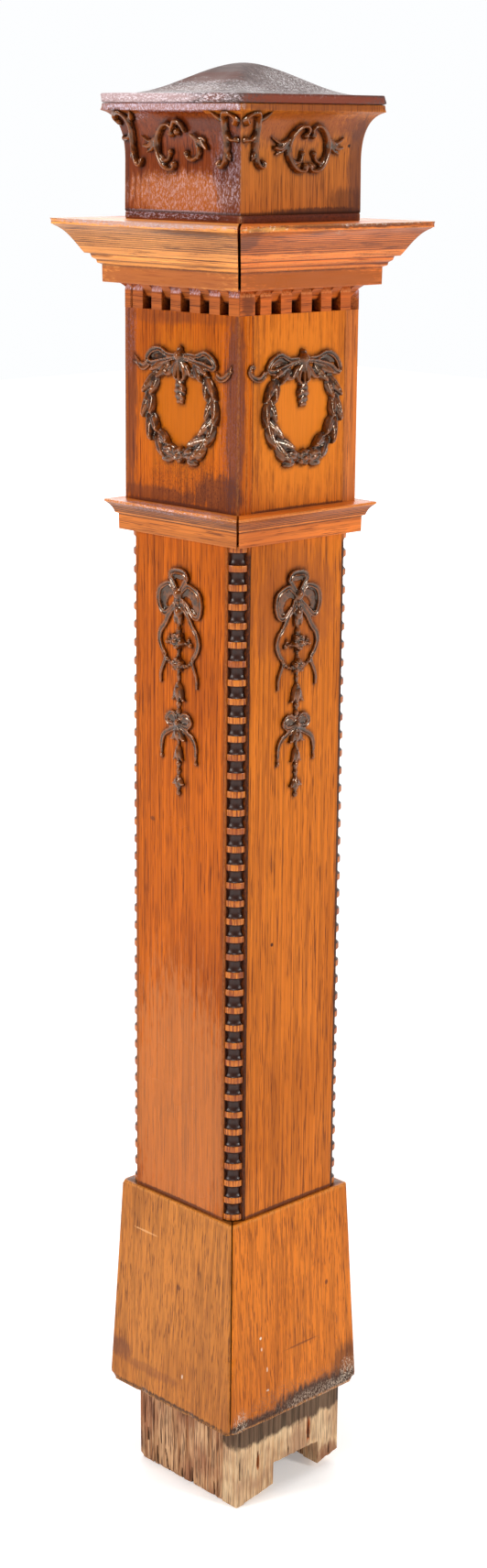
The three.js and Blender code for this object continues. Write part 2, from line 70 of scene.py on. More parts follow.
# Studio: a pale floor with a painted glow that brightens it away from the post towards a pale end wall,
# soft boxes on the left, on the right and overhead, and a broad light over the floor behind the post,
# which also glosses its top.
def plug(tree, kind, inputs, settings=None, output=0):
    """Adds a node, sets or links its inputs by name or number, and returns one of its outputs."""
    made = tree.nodes.new(kind)
    for key, value in (settings or {}).items():
        setattr(made, key, value)
    for key, value in inputs.items():
        if isinstance(value, bpy.types.NodeSocket):
            tree.links.new(value, made.inputs[key])
        else:
            made.inputs[key].default_value = value
    return made.outputs[output]


def scaled(tree, vector, scale):
    return plug(tree, "ShaderNodeMapping", {"Vector": vector, "Scale": scale})


def noise(tree, vector, detail=2.0, rough=0.5):
    inputs = {"Vector": vector, "Scale": 1.0, "Detail": detail, "Roughness": rough}
    return plug(tree, "ShaderNodeTexNoise", inputs)


def fade(tree, value, low, high, at_low=0.0, at_high=1.0):
    """A smooth step from at_low to at_high as value goes from low to high."""
    return plug(tree, "ShaderNodeMapRange", {
        "Value": value, "From Min": low, "From Max": high, "To Min": at_low, "To Max": at_high,
    }, {"interpolation_type": "SMOOTHSTEP"})


def calc(tree, operation, first, second):
    return plug(tree, "ShaderNodeMath", {0: first, 1: second}, {"operation": operation})


def product(tree, first, second):
    return calc(tree, "MULTIPLY", first, second)


def vector_math(tree, operation, *vectors, output="Vector"):
    return plug(tree, "ShaderNodeVectorMath", dict(enumerate(vectors)), {"operation": operation}, output)


def mixed(tree, share, under, upper):
    """One colour laid over another by a share from 0 to 1."""
    return plug(tree, "ShaderNodeMix", {0: share, 6: under, 7: upper}, {"data_type": "RGBA"}, 2)


def object_place(tree):
    return plug(tree, "ShaderNodeTexCoord", {}, output="Object")


def fresh_material(name, specular, coat=0.0, coat_roughness=0.1):
    """A new material with its node tree and its shader, whose even values are set on the shader itself."""
    material = bpy.data.materials.new(name)
    material.use_nodes = True
    tree = material.node_tree
    shader = tree.nodes["Principled BSDF"]
    shader.inputs["Coat Weight"].default_value = coat
    shader.inputs["Coat Roughness"].default_value = coat_roughness
    shader.inputs["Specular IOR Level"].default_value = specular
    return material, tree, shader


def soft_light(name, spot, width, height, power, tint):
    """A soft box at a place in metres that faces the middle of the post."""
    light = bpy.data.lights.new(name, "AREA")
    light.shape = "RECTANGLE"
    light.size = width
    light.size_y = height
    light.energy = power
    light.color = tint
    holder = added(name, light)
    holder.location = spot
    holder.rotation_euler = (Vector(spot) - Vector((0.0, 0.0, 0.8))).to_track_quat("Z", "Y").to_euler()


soft_light("soft box on the left", (-0.7, -2.6, 1.9), 0.6, 1.1, 48.0, (1.0, 0.98, 0.96))
soft_light("soft box on the right", (2.6, 0.7, 1.8), 0.5, 0.9, 39.0, (1.0, 0.98, 0.95))
soft_light("soft box overhead", (0.3, -0.6, 3.1), 0.7, 0.7, 26.0, (1.0, 1.0, 1.0))
soft_light("light on the backdrop", (-3.6, 3.6, 4.2), 5.0, 5.0, 150.0, (1.0, 1.0, 1.0))

world = bpy.data.worlds.new("dim studio with a pale end wall")
world.use_nodes = True
tree = world.node_tree
way = plug(tree, "ShaderNodeTexCoord", {}, output="Generated")
facing = vector_math(tree, "DOT_PRODUCT", way, (-0.70, 0.71, 0.0), output="Value")
background = tree.nodes["Background"]
background.inputs["Color"].default_value = (0.98, 0.99, 1.0, 1.0)
tree.links.new(fade(tree, facing, 0.1, 0.8, 0.24, 1.0), background.inputs["Strength"])
bpy.context.scene.world = world

FLOOR_METRES = 9.0
FLOOR_DROP_METRES = 0.0003
floor_mesh = bpy.data.meshes.new("floor")
floor_corners = [(-1, -1), (1, -1), (1, 1), (-1, 1)]
floor_mesh.from_pydata([(x * FLOOR_METRES, y * FLOOR_METRES, -FLOOR_DROP_METRES) for x, y in floor_corners],
                       [], [(0, 1, 2, 3)])
floor_paper, tree, shader = fresh_material("pale floor paper", 0.2)
mottle = noise(tree, scaled(tree, object_place(tree), (3.0, 3.0, 3.0)))
tree.links.new(mixed(tree, mottle, (0.9, 0.9, 0.9, 1), (0.95, 0.95, 0.95, 1)), shader.inputs["Base Color"])
shader.inputs["Roughness"].default_value = 0.85
# The floor paper glows: a painted glow, 0.26 by the post and up to 0.8 far from it.
shader.inputs["Emission Color"].default_value = (1.0, 1.0, 1.0, 1.0)
reach = vector_math(tree, "LENGTH", object_place(tree), output="Value")
tree.links.new(fade(tree, reach, 1.5, 4.5, 0.26, 0.8), shader.inputs["Emission Strength"])
floor_mesh.materials.append(floor_paper)
added("floor", floor_mesh)

# Foot: four rough boards butted into a box, left unplaned and unfinished because they stood below the
# floor. The lower edge of the right one is notched, and all of them are split, worn and stained by damp.
MM = 0.001


def eased_rings(corners, counts, ease, bends=4):
    """Closed outlines with eased corners.

    corners holds one polygon a station, (stations, K, 2). Each corner P becomes the arc from A to B,
    `ease` short of it on both sides: (1 - t)^2 A + 2 t (1 - t) P + t^2 B. counts gives the points between
    one arc and the next. Returns the outlines and, for each of their points, 1 on an outer arris, -1 in
    an inner corner, 0 on a flat.
    """
    corners = np.asarray(corners, float)
    to_last = np.roll(corners, 1, axis=1) - corners
    to_next = np.roll(corners, -1, axis=1) - corners
    last_length = np.linalg.norm(to_last, axis=-1, keepdims=True)
    next_length = np.linalg.norm(to_next, axis=-1, keepdims=True)
    start = corners + to_last / last_length * np.minimum(ease, last_length * 0.4)
    stop = corners + to_next / next_length * np.minimum(ease, next_length * 0.4)
    t = np.linspace(0.0, 1.0, bends)[None, :, None]
    crosses = to_last[0, :, 0] * to_next[0, :, 1] - to_last[0, :, 1] * to_next[0, :, 0]
    xs, ys = corners[0].T
    area = np.sum(xs * np.roll(ys, -1) - ys * np.roll(xs, -1))
    parts, turns = [], []
    for k, count in enumerate(counts):
        following = (k + 1) % len(counts)
        arc = (1 - t) ** 2 * start[:, k, None] + 2 * t * (1 - t) * corners[:, k, None]
        arc = arc + t ** 2 * stop[:, k, None]
        s = ((np.arange(count) + 1) / (count + 1))[None, :, None]
        parts += [arc, stop[:, k, None] * (1 - s) + start[:, following, None] * s]
        sign = -np.sign(crosses[k] * area)
        turns += [np.full(bends, sign), np.zeros(count)]
    return np.concatenate(parts, axis=1), np.concatenate(turns)


WAVES = 14


def waver(points, sizes, seed):
    """Smooth noise from about -1 to 1: a sum of sin(way . point + phase) over random ways and phases."""
    draw = np.random.default_rng(seed)
    ways = draw.normal(size=(WAVES, 3)) * 2.2 / np.asarray(sizes)
    phases = draw.uniform(0.0, 2 * np.pi, WAVES)
    return np.sin(points @ ways.T + phases).sum(axis=-1) / math.sqrt(WAVES / 2) / 2.2


def half_waver(points, sizes, seed):
    """The same noise from about 0 to 1."""
    return 0.5 + 0.5 * waver(points, sizes, seed)


def turn_outwards(mesh):
    work = bmesh.new()
    work.from_mesh(mesh)
    bmesh.ops.recalc_face_normals(work, faces=work.faces)
    work.to_mesh(mesh)
    work.free()


def finish_piece(name, mesh, finish, nodes, sharp):
    """Turns the faces outwards, smooths what is round and hands the piece to the frame."""
    turn_outwards(mesh)
    mesh.shade_smooth()
    mesh.set_sharp_from_angle(angle=math.radians(sharp))
    mesh.materials.append(finish)
    piece = added(name, mesh)
    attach(piece, "root")
    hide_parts(*nodes)
    return piece


def store(mesh, name, values):
    attribute = mesh.attributes.get(name) or mesh.attributes.new(name, "FLOAT", "POINT")
    attribute.data.foreach_set("value", np.ascontiguousarray(values, dtype=np.float32).ravel())


def ring_faces(stations, around, first=0):
    """Quads between each closed ring and the next, and one flat face at each end."""
    here = np.arange(stations * around).reshape(stations, around) + first
    following = np.roll(here, -1, axis=1)
    quads = np.stack([here[:-1], following[:-1], following[1:], here[1:]], axis=-1).reshape(-1, 4)
    return quads.tolist() + [here[0][::-1].tolist(), here[-1].tolist()]


def shell(name, rings, finish, nodes, wear_and_sheen=0.0, grime_and_shade=0.0, sharp=32.0):
    """A closed skin over rings of points in mm, (stations, points, 3); wear_and_sheen and grime_and_shade go
    to its material.
    """
    stations, around = rings.shape[:2]
    mesh = bpy.data.meshes.new(name)
    mesh.from_pydata((rings.reshape(-1, 3) * MM).tolist(), [], ring_faces(stations, around))
    store(mesh, "wear_and_sheen", np.broadcast_to(wear_and_sheen, (stations, around)))
    store(mesh, "grime_and_shade", np.broadcast_to(grime_and_shade, (stations, around)))
    return finish_piece(name, mesh, finish, nodes, sharp)


def bitten(points, spots):
    """Points moved towards the post's axis inside ragged round chips, each (x, y, z, radius, depth)."""
    moved = points.copy()
    level_way = points[..., :2] / np.linalg.norm(points[..., :2], axis=-1, keepdims=True)
    ragged = waver(points, (3.0, 3.0, 3.0), 5)
    for x, y, z, radius, depth in spots:
        far = np.linalg.norm(points - (x, y, z), axis=-1) / (radius * (1 + 0.25 * ragged))
        moved[..., :2] -= level_way * (depth * np.clip(1 - far ** 2, 0, None) ** 0.7)[..., None]
    return moved


RAGGED, BLOT_EDGE = 0.7, 0.4


def blot(tree, place, centre, reach, grain=2):
    """1 in an ellipsoid about a point, 0 outside it, its edge torn along the grain. Sizes in mm."""
    offset = vector_math(tree, "SUBTRACT", place, [c * MM for c in centre])
    shrunk = vector_math(tree, "MULTIPLY", offset, [1 / (r * MM) for r in reach])
    far = vector_math(tree, "LENGTH", shrunk, output="Value")
    size = 2.4 / (min(max(min(reach), 3.0), 14.0) * MM)
    stretched = [size * (0.22 if axis == grain else 1.0) for axis in range(3)]
    torn = noise(tree, scaled(tree, place, stretched), detail=4.0, rough=0.6)
    far = calc(tree, "ADD", far, product(tree, torn, RAGGED * 2))
    return fade(tree, far, 1.0 + RAGGED - BLOT_EDGE, 1.0 + RAGGED + BLOT_EDGE * 0.4, 1.0, 0.0)


def tinted(red, green, blue):
    """A linear colour from 0 to 255 screen values."""
    return tuple(((value / 255 + 0.055) / 1.055) ** 2.4 for value in (red, green, blue)) + (1.0,)


def stored(tree, name):
    """A value kept at each point of a piece: rubbed arrises and painted sheen, or dirt and painted shade."""
    return plug(tree, "ShaderNodeAttribute", {}, {"attribute_name": name}, "Fac")


def dress(tree, shader, colour, roughness, height, strength, deep):
    """Joins a material's colour, roughness and relief to its shader, deep being the relief's metres."""
    bump = plug(tree, "ShaderNodeBump", {"Strength": strength, "Distance": deep, "Height": height})
    for value, socket in ((colour, "Base Color"), (roughness, "Roughness"), (bump, "Normal")):
        tree.links.new(value, shader.inputs[socket])


FOOT_TOP = 88.0
FOOT_LEFT, FOOT_RIGHT, FOOT_FRONT, FOOT_BACK = -65.0, 79.5, -70.0, 73.5
FOOT_BOARD = 21.0
# y and z of the middle of each rust stain on the right board, its reaches, colour and strength
RUST = [(-41.0, 41.0, 2.4, 11.0, (176, 96, 40), 1.0), (30.6, 50.0, 3.2, 15.0, (170, 84, 30), 1.0),
        (60.0, 12.0, 16.0, 14.0, (128, 68, 38), 0.7)]


def raw_wood(name, pale, brown, dark, low_pale=0.0, band=0.0):
    """Bare weathered softwood with upright grain: pale to brown streaks and dark cracks, and where asked
    pale patches, rust stains and a darker band along the top.
    """
    material, tree, shader = fresh_material(name, 0.25)
    place = object_place(tree)
    streak = noise(tree, scaled(tree, place, (260.0, 260.0, 9.0)), detail=3.0, rough=0.6)
    fine = noise(tree, scaled(tree, place, (900.0, 900.0, 45.0)), detail=2.0)
    patch = noise(tree, scaled(tree, place, (28.0, 28.0, 22.0)), detail=3.0)
    colour = mixed(tree, fade(tree, streak, 0.3, 0.66), brown, pale)
    colour = mixed(tree, fade(tree, patch, 0.42, 0.68, 0.0, 0.75), colour, tinted(150, 92, 62))
    colour = mixed(tree, fade(tree, fine, 0.48, 0.62, 0.0, 0.75), colour, dark)
    if low_pale:
        colour = mixed(tree, fade(tree, patch, 0.3, 0.55, low_pale, 0.2), colour, tinted(226, 200, 160))
        for y, z, wide, high, tint, strength in RUST:
            rust = product(tree, blot(tree, place, (FOOT_RIGHT, y, z), (6.0, wide, high)), strength)
            colour = mixed(tree, rust, colour, tinted(*tint))
    # The board is darker in a band along its top, down to about 60 mm, with a ragged lower edge.
    if band:
        band_height = plug(tree, "ShaderNodeSeparateXYZ", {0: place}, output="Z")
        edge = noise(tree, scaled(tree, place, (90.0, 90.0, 50.0)), detail=4.0, rough=0.65)
        band_height = calc(tree, "ADD", band_height, product(tree, edge, 0.022))
        colour = mixed(tree, fade(tree, band_height, 0.070, 0.077, 0.0, band), colour,
                       mixed(tree, fade(tree, streak, 0.35, 0.6), tinted(40, 26, 20), tinted(92, 66, 48)))
    colour = mixed(tree, stored(tree, "grime_and_shade"), colour, tinted(42, 20, 12))
    height = calc(tree, "ADD", streak, product(tree, fine, 0.5))
    dress(tree, shader, colour, fade(tree, streak, 0.3, 0.7, 0.9, 0.7), height, 1.0, 0.0014)
    return material


foot_brown = raw_wood("weathered foot wood", tinted(222, 176, 132), tinted(156, 102, 62), tinted(66, 32, 18))
foot_pale = raw_wood("damp notched foot wood", tinted(234, 196, 152), tinted(196, 144, 94),
                     tinted(96, 50, 26), low_pale=0.6, band=0.92)

# x at the top and foot of each split in the front board, its low and high ends, depth and half width
FRONT_SPLITS = [
    (-39.5, -38.6, -1, 20.4, 5, 1.1), (-27, -21.4, -1, 22, 5, 1.3), (-2.1, -1.6, -1, 11.5, 5.5, 1.7),
    (13.6, 14.6, -1, 18, 5, 1.6), (46.2, 47.2, -1, 16, 4, 1), (53, 53.6, 34, 66, 2.2, 0.6),
    (-33, -33.6, 26, 58, 1.6, 0.7), (-12, -12.5, 30, 70, 1.4, 0.6), (27, 27.4, 22, 52, 1.4, 0.6),
    (38, 38.6, 40, 84, 1.4, 0.6), (4, 4.4, 48, 86, 1.4, 0.6),
]


def splits(position, height, cuts):
    """How deep the V-shaped splits are at each point: full on the line from top to foot, 0 at half width."""
    deep = np.zeros_like(position)
    for top, low_end, low, high, depth, half in cuts:
        along = np.clip((height - low) / (high - low), 0, 1)
        line = low_end + (top - low_end) * along
        opening = np.clip(1.15 - along, 0, 1) ** 0.5 * (height > low) * (height < high)
        wide = half * (0.25 + 0.75 * opening)
        deep = np.maximum(deep, depth * opening * np.clip(1 - np.abs(position - line) / wide, 0, 1))
    return deep


def board_points(flat, heights):
    """Outlines in plan set at their heights."""
    return np.concatenate([flat, np.broadcast_to(heights[:, None, None], flat.shape[:2] + (1,))], axis=-1)


RUGGED = 0.9


def upright_board(side, outline, counts, seed, inwards=(0.0, 0.0), cuts=(), chips=()):
    """A rough board stood on end: an eased outline carried upwards, ridged along its grain and split."""
    rows = np.linspace(3.0, FOOT_TOP - 1.0, 50)
    heights = np.concatenate([[0.0, 0.6, 1.5], rows, [FOOT_TOP - 0.4, FOOT_TOP]])
    flat, turn = eased_rings([outline], counts, 1.0)
    points = board_points(np.repeat(flat, len(heights), axis=0), heights)
    middle = points[..., :2].mean(axis=1, keepdims=True)
    ridge = half_waver(points, (3.0, 3.0, 60.0), seed)
    ends = np.clip(1 - heights / 2.5, 0, 1) + np.clip(1 - (FOOT_TOP - heights) / 1.2, 0, 1) * 0.6
    sink = RUGGED * ridge + ends[:, None] * (0.6 + 0.9 * half_waver(points, (7.0, 7.0, 7.0), seed + 9))
    depth = splits(points[..., 0], points[..., 2], cuts) * (points[..., 1] < FOOT_FRONT + 1.2)
    points[..., :2] += np.clip(middle - points[..., :2], -1, 1) * sink[..., None]
    points[..., :2] += np.asarray(inwards) * depth[..., None]
    points = bitten(points, chips)
    grime_and_shade = np.clip(depth / 1.2, 0, 1) + 0.35 * np.clip(0.35 - ridge, 0, 1)
    shell(f"{side}_foot_board", points, foot_brown, [f"foot_board_{side}"],
          wear_and_sheen=np.clip(turn, 0, 1), grime_and_shade=grime_and_shade)


inner_left, inner_right = FOOT_LEFT + FOOT_BOARD, FOOT_RIGHT - FOOT_BOARD
inner_front, inner_back = FOOT_FRONT + FOOT_BOARD, FOOT_BACK - FOOT_BOARD


def oblong(left, front, right, back):
    return [(left, front), (right, front), (right, back), (left, back)]


upright_board("front", oblong(inner_left, FOOT_FRONT, inner_right, inner_front), (150, 10, 40, 10), 11,
              (0.0, 1.0), FRONT_SPLITS)
upright_board("back", oblong(inner_left, inner_back, inner_right, FOOT_BACK), (40, 10, 60, 10), 12)
upright_board("left", oblong(FOOT_LEFT, FOOT_FRONT, inner_left, FOOT_BACK), (26, 50, 12, 80), 13, (0.0, 1.0),
              [(-52.4, -52, 22, 36, 3.5, 1.6), (-59, -58, 40, 80, 1.4, 0.7)],
              [(FOOT_LEFT, FOOT_FRONT, FOOT_TOP, 9.0, 6.0), (FOOT_LEFT, FOOT_FRONT, 1.0, 4.0, 2.0)])


def notched_board():
    """The right foot board: its section carried from front to back, its lower edge following notch and toes.

    At each place y the section is a rectangle from the lower edge z(y) up to the top. z(y) is 0 at the
    front toe, climbs to 6.8, jumps to 30 over the notch, falls to 5 and climbs to 11 at the back toe.
    """
    edge_y = np.array([-70.0, -60.0, -19.2, -18.9, 44.6, 44.9, 73.5])
    edge_z = np.array([0.0, 0.0, 6.8, 30.0, 30.0, 5.0, 11.0])
    places = np.unique(np.concatenate([np.linspace(FOOT_FRONT, FOOT_BACK, 104), edge_y, edge_y[2:6] - 0.6,
                                       edge_y[2:6] + 0.6]))
    lower = np.interp(places, edge_y, edge_z)
    line = np.stack([places, lower, lower], axis=-1)
    lower = lower + np.where(places > -60, 1.3 * half_waver(line, (6.0, 900.0, 900.0), 21), 0.0)
    corners = np.zeros((len(places), 4, 2))
    corners[:, :, 0] = (inner_right, FOOT_RIGHT, FOOT_RIGHT, inner_right)
    corners[:, :2, 1] = lower[:, None]
    corners[:, 2:, 1] = FOOT_TOP
    flat, turn = eased_rings(corners, (14, 64, 14, 30), 1.0)
    along = np.broadcast_to(places[:, None], flat.shape[:2])
    points = np.stack([flat[..., 0], along, flat[..., 1]], axis=-1)
    ridge = half_waver(points, (4.0, 3.2, 40.0), 22)
    outside = points[..., 0] > FOOT_RIGHT - 1.2
    cuts = [(-40.9, -40.6, 34, 52, 2.5, 0.9), (30.6, 31.2, 40, 64, 3, 1.4), (-66.4, -66, 30, 60, 3, 1),
            (2, 3, 31, 44, 1.5, 0.8), (62, 61, 12, 40, 1.5, 0.8)]
    depth = splits(points[..., 1], points[..., 2], cuts) * outside
    points[..., 0] -= np.where(outside, 0.45 * ridge + depth, 0.0)
    grime_and_shade = np.clip(depth / 1.2, 0, 1) + 0.25 * np.clip(0.35 - ridge, 0, 1)
    shell("right_foot_board", points, foot_pale, ["foot_board_right"],
          wear_and_sheen=np.clip(turn, 0, 1), grime_and_shade=grime_and_shade)


notched_board()

# Base: four tapered oak boards, mitred at the corners, glued round the foot of the post. The lower edge
# of the right one has rotted from standing in the wet, and specks of old paint cling to it.
def turned(points, quarter):
    """Points of the front side carried to another side by quarter turns about the post's axis."""
    for _ in range(quarter):
        points = np.stack([-points[..., 1], points[..., 0], points[..., 2]], axis=-1)
    return points


MITRE_GAP = 0.21


def mitred(section, shares, side, near_gap, arris):
    """A section carried along the front side and slanted at 45 degrees at both ends.

    A section point is its distance out and its height. At share s of the length it lies at (2s - 1) out,
    less the gap at each end, near_gap at the corner near the viewer. arris rounds the outer corner by
    pulling out in over that distance from an end.
    """
    gaps = {"front": (MITRE_GAP, near_gap), "right": (near_gap, MITRE_GAP)}.get(side, (MITRE_GAP, MITRE_GAP))
    out, height = section[:, 0][None], section[:, 1][None]
    share = np.asarray(shares)[:, None]
    length = 2 * out.max()
    near = np.minimum(share, 1 - share) * length
    out = out - 0.3 * arris * np.clip(1 - near / max(arris, 0.01), 0, 1) ** 2
    along = (2 * share - 1) * out + (1 - share) * gaps[0] - share * gaps[1]
    return np.stack([along, -out, np.broadcast_to(height, along.shape)], axis=-1)


DENSE_END = 2.0


def end_shares(count, length):
    """Shares of a length from 0 to 1, with extra ones close to both ends."""
    close = np.array([0.0, 0.25, 0.5, 0.75]) * DENSE_END / length
    inner = DENSE_END / length
    return np.concatenate([close, np.linspace(inner, 1 - inner, count), 1 - close[::-1]])


def hollowed(points, sizes, seed, depth):
    """Points drawn towards the post's axis by up to a depth, in soft hollows."""
    hollow = np.clip(half_waver(points, sizes, seed), 0, 1)
    reach = np.linalg.norm(points[..., :2], axis=-1, keepdims=True)
    points[..., :2] *= 1 - depth * hollow[..., None] / reach
    return points


def oak(name, grain, tone, contrast=1.0, gloss=0.34, coat=0.16, stains=(), flecks=(), crust=0.35,
        worn_and_sheen_tint=(214, 140, 66), specular=0.2):
    """Varnished oak of a mean tone, with its grain along one axis (0, 1 or 2).

    Streaks, clouds and fine grain move the tone from about half to 1.3 times itself, dark pores lie over
    them, rubbed arrises are paler and dirt is darker. On the dentils' rolled tops the paler tint is a
    painted sheen, and in the rebates and notches the darkening is painted shade. Stains and flecks are
    (centre, reach, colour, strength), and flecks are broken up into small spots; some are painted sheen,
    glare or shadow lines. Crust is the height of the roughened varnish.
    """
    material, tree, shader = fresh_material(name, specular, coat, 0.14)
    place = object_place(tree)
    mean = tinted(*tone)
    light = [min(1.0, c * (1 + 0.26 * contrast)) for c in mean[:3]] + [1.0]
    mellow = [c * (1 - 0.1 * contrast) for c in mean[:3]] + [1.0]
    dark = [c * max(0.0, 1 - k * contrast) for c, k in zip(mean, (0.46, 0.58, 0.6))] + [1.0]
    pitch = [c * k for c, k in zip(mean, (0.22, 0.15, 0.15))] + [1.0]

    def grained(size, ratio):
        return scaled(tree, place, [size * (ratio if axis == grain else 1.0) for axis in range(3)])

    streak = noise(tree, grained(250.0, 0.006), detail=2.0, rough=0.6)
    fine = noise(tree, grained(520.0, 0.012), detail=2.0, rough=0.6)
    pores = noise(tree, grained(900.0, 0.03), detail=2.0, rough=0.6)
    cloud = noise(tree, scaled(tree, place, (11.0, 11.0, 6.0)), detail=3.0)
    colour = mixed(tree, fade(tree, streak, 0.36, 0.6), mellow, light)
    colour = mixed(tree, fade(tree, cloud, 0.42, 0.72, 0.0, 0.4), colour, dark)
    colour = mixed(tree, fade(tree, fine, 0.5, 0.72, 0.0, 0.6), colour, dark)
    colour = mixed(tree, fade(tree, pores, 0.54, 0.64, 0.0, 0.75), colour, pitch)
    speck = noise(tree, scaled(tree, place, (620.0, 620.0, 260.0)), detail=5.0, rough=0.75)
    fleck = noise(tree, grained(760.0, 0.45), detail=5.0, rough=0.8)
    for number, (centre, reach, tint, strength) in enumerate([*stains, *flecks]):
        amount = strength if number < len(stains) else fade(tree, fleck, 0.5, 0.58, 0.0, strength)
        share = product(tree, blot(tree, place, centre, reach, grain), amount)
        colour = mixed(tree, share, colour, tinted(*tint))
    torn = fade(tree, speck, 0.38, 0.62, 0.0, 0.7)
    colour = mixed(tree, product(tree, stored(tree, "wear_and_sheen"), torn), colour, tinted(*worn_and_sheen_tint))
    clotted = fade(tree, speck, 0.2, 0.6, 0.6, 1.0)
    colour = mixed(tree, product(tree, stored(tree, "grime_and_shade"), clotted), colour, tinted(34, 14, 10))
    height = calc(tree, "SUBTRACT", product(tree, speck, crust), product(tree, pores, 0.6))
    height = calc(tree, "ADD", height, product(tree, fine, -0.5))
    roughness = fade(tree, cloud, 0.3, 0.7, gloss * 0.8, gloss * 1.35)
    dress(tree, shader, colour, roughness, height, 0.4, 0.0004)
    return material


BASE_TOP = 306.0
BASE_HALF_LOW, BASE_HALF_HIGH, BASE_INNER = 89.5, 80.0, 58.5
DAMP = (48, 30, 22)
PAINT = (232, 214, 190)
SHADOW_BROWN = (96, 46, 20)
base_front_oak = oak(
    "varnished oak, front of the base", 2, (180, 108, 38), coat=0.05, specular=0.15,
    stains=[((-78, -86, 125), (22, 30, 12), (96, 50, 34), 0.6),
            ((-30, -86, 116), (50, 30, 6), (122, 66, 34), 0.4),
            ((8.1, -84, 219), (3.2, 9, 3.2), (96, 44, 18), 0.7), ((0, -89, 89), (120, 20, 5), DAMP, 0.9),
            ((-42, -82, 262), (17, 9, 1.2), (220, 160, 100), 0.8),
            ((17.8, -87, 127), (1.0, 9, 2.4), PAINT, 0.8)])
base_right_oak = oak(
    "varnished oak, right of the base", 2, (200, 108, 20), coat=0.04, specular=0.12,
    stains=[((90, 30, 94), (20, 74, 17), DAMP, 0.95), ((90, -60, 91), (20, 50, 9), DAMP, 0.95),
            ((90, 74, 112), (20, 20, 26), DAMP, 0.6), ((86, 48, 209), (9, 2.4, 3.0), (96, 42, 18), 0.85),
            ((86, -45, 179), (8, 1.5, 1.6), PAINT, 0.9), ((86, -44, 167), (8, 1.0, 2.0), PAINT, 0.7),
            ((86, -37, 143), (8, 1.0, 2.6), PAINT, 0.7), ((86, -37, 121), (8, 2.0, 1.2), PAINT, 0.7),
            ((86, 12, 155), (8, 24, 1.2), SHADOW_BROWN, 0.6)],
    flecks=[((90, -74, 97), (20, 9, 15), PAINT, 0.95), ((90, 36, 93), (20, 54, 9), PAINT, 0.95),
            ((90, 0, 100), (20, 90, 22), (120, 84, 62), 0.7), ((90, 78, 104), (20, 12, 16), PAINT, 0.6)])
base_plain_oak = oak("varnished oak, plain sides of the base", 2, (186, 108, 42),
                     stains=[((0, 0, 90), (150, 150, 7), DAMP, 0.8)])

base_section, base_turn = eased_rings(
    [[(BASE_INNER, FOOT_TOP), (BASE_HALF_LOW, FOOT_TOP), (BASE_HALF_HIGH, BASE_TOP),
      (BASE_INNER, BASE_TOP)]],
    (12, 84, 8, 14), 1.4)
BASE_CHIPS = [(89, -89, 88, 7, 4), (84, -84, 168, 4, 2.2), (85, -85, 153, 3, 2.0), (-89, -89, 88, 8, 4),
              (30, -90, 88, 6, 2), (-40, -90, 88, 7, 2), (89, 89, 88, 8, 4), (-80, -80, 306, 4, 1.6)]
SIDES = ["front", "right", "back", "left"]
for quarter, side in enumerate(SIDES):
    finish = (base_front_oak, base_right_oak, base_plain_oak, base_plain_oak)[quarter]
    points = turned(mitred(base_section[0], end_shares(60, 179.0), side, 0.9, 2.2), quarter)
    points = bitten(hollowed(points, (16.0, 16.0, 60.0), 31 + quarter, 0.35), BASE_CHIPS)
    if side == "right":
        decay = np.clip(1 - (points[..., 2] - FOOT_TOP) / 24, 0, 1) * half_waver(points, (7.0, 7.0, 5.0), 37)
        points[..., 0] -= 1.8 * decay * (points[..., 0] > 80)
    seat = np.where((points[..., 2] > BASE_TOP - 1.5) & (base_turn == 0), 0.75, 0.0)
    shell(f"{side}_base_board", points, finish, [f"base_board_{side}"],
          wear_and_sheen=np.clip(base_turn, 0, 1), grime_and_shade=seat)

# Post: four long oak boards glued into a hollow box. The front and back ones run the full width, their
# corners rebated for the rods as far up as the necking; the right and left ones stand between them.
POST_HALF, BORE_HALF, REBATE_HALF, SEAT_HALF = 76.2, 59.2, 62.2, 75.6
NECK_BOTTOM, NECK_TOP, FRIEZE_TOP = 965.0, 994.0, 1170.3
DARK_EDGE = (84, 40, 24)
PLUM = (88, 46, 34)
post_front_oak = oak(
    "varnished oak, front of the post", 2, (178, 86, 3), contrast=1.2, gloss=0.3, coat=0.03, specular=0.1,
    stains=[((0, -76, 1090), (56, 9, 70), (190, 100, 8), 0.75), ((-72, -76, 1090), (14, 9, 110), PLUM, 0.6),
            ((72, -76, 1090), (13, 9, 110), PLUM, 0.7), ((52, -76, 1010), (40, 9, 20), DARK_EDGE, 0.7),
            ((-30, -76, 1002), (60, 9, 9), DARK_EDGE, 0.6), ((-30, -76, 1165), (50, 9, 8), PLUM, 0.3),
            ((20, -76, 1166), (60, 9, 6), DARK_EDGE, 0.3), ((0, -76, 995), (90, 9, 3), DARK_EDGE, 0.9),
            # The paler tone low on the shaft is a painted sheen, the floor's reflection in the varnish.
            ((0, -76, 400), (90, 9, 150), (190, 118, 66), 0.5),
            # The two long dark lines down the board's edges beside the rods are painted shadow.
            ((-61, -76, 640), (3.0, 9, 400), DARK_EDGE, 0.45),
            ((61.5, -76, 640), (2.4, 9, 400), DARK_EDGE, 0.6),
            # The dark line at 308 mm is a painted shadow in the gap above the base.
            ((-38, -76, 690), (4, 9, 2.4), DARK_EDGE, 0.6), ((0, -76, 308), (90, 9, 2.6), DARK_EDGE, 0.85)],
    # The lavender flecks on the frieze's edges are painted sheen.
    flecks=[((-72, -76, 1150), (14, 9, 40), (150, 120, 130), 0.3),
            ((66, -76, 1080), (16, 9, 90), (130, 96, 110), 0.25),
            ((20, -76, 1016), (70, 9, 26), (58, 26, 14), 0.6)])
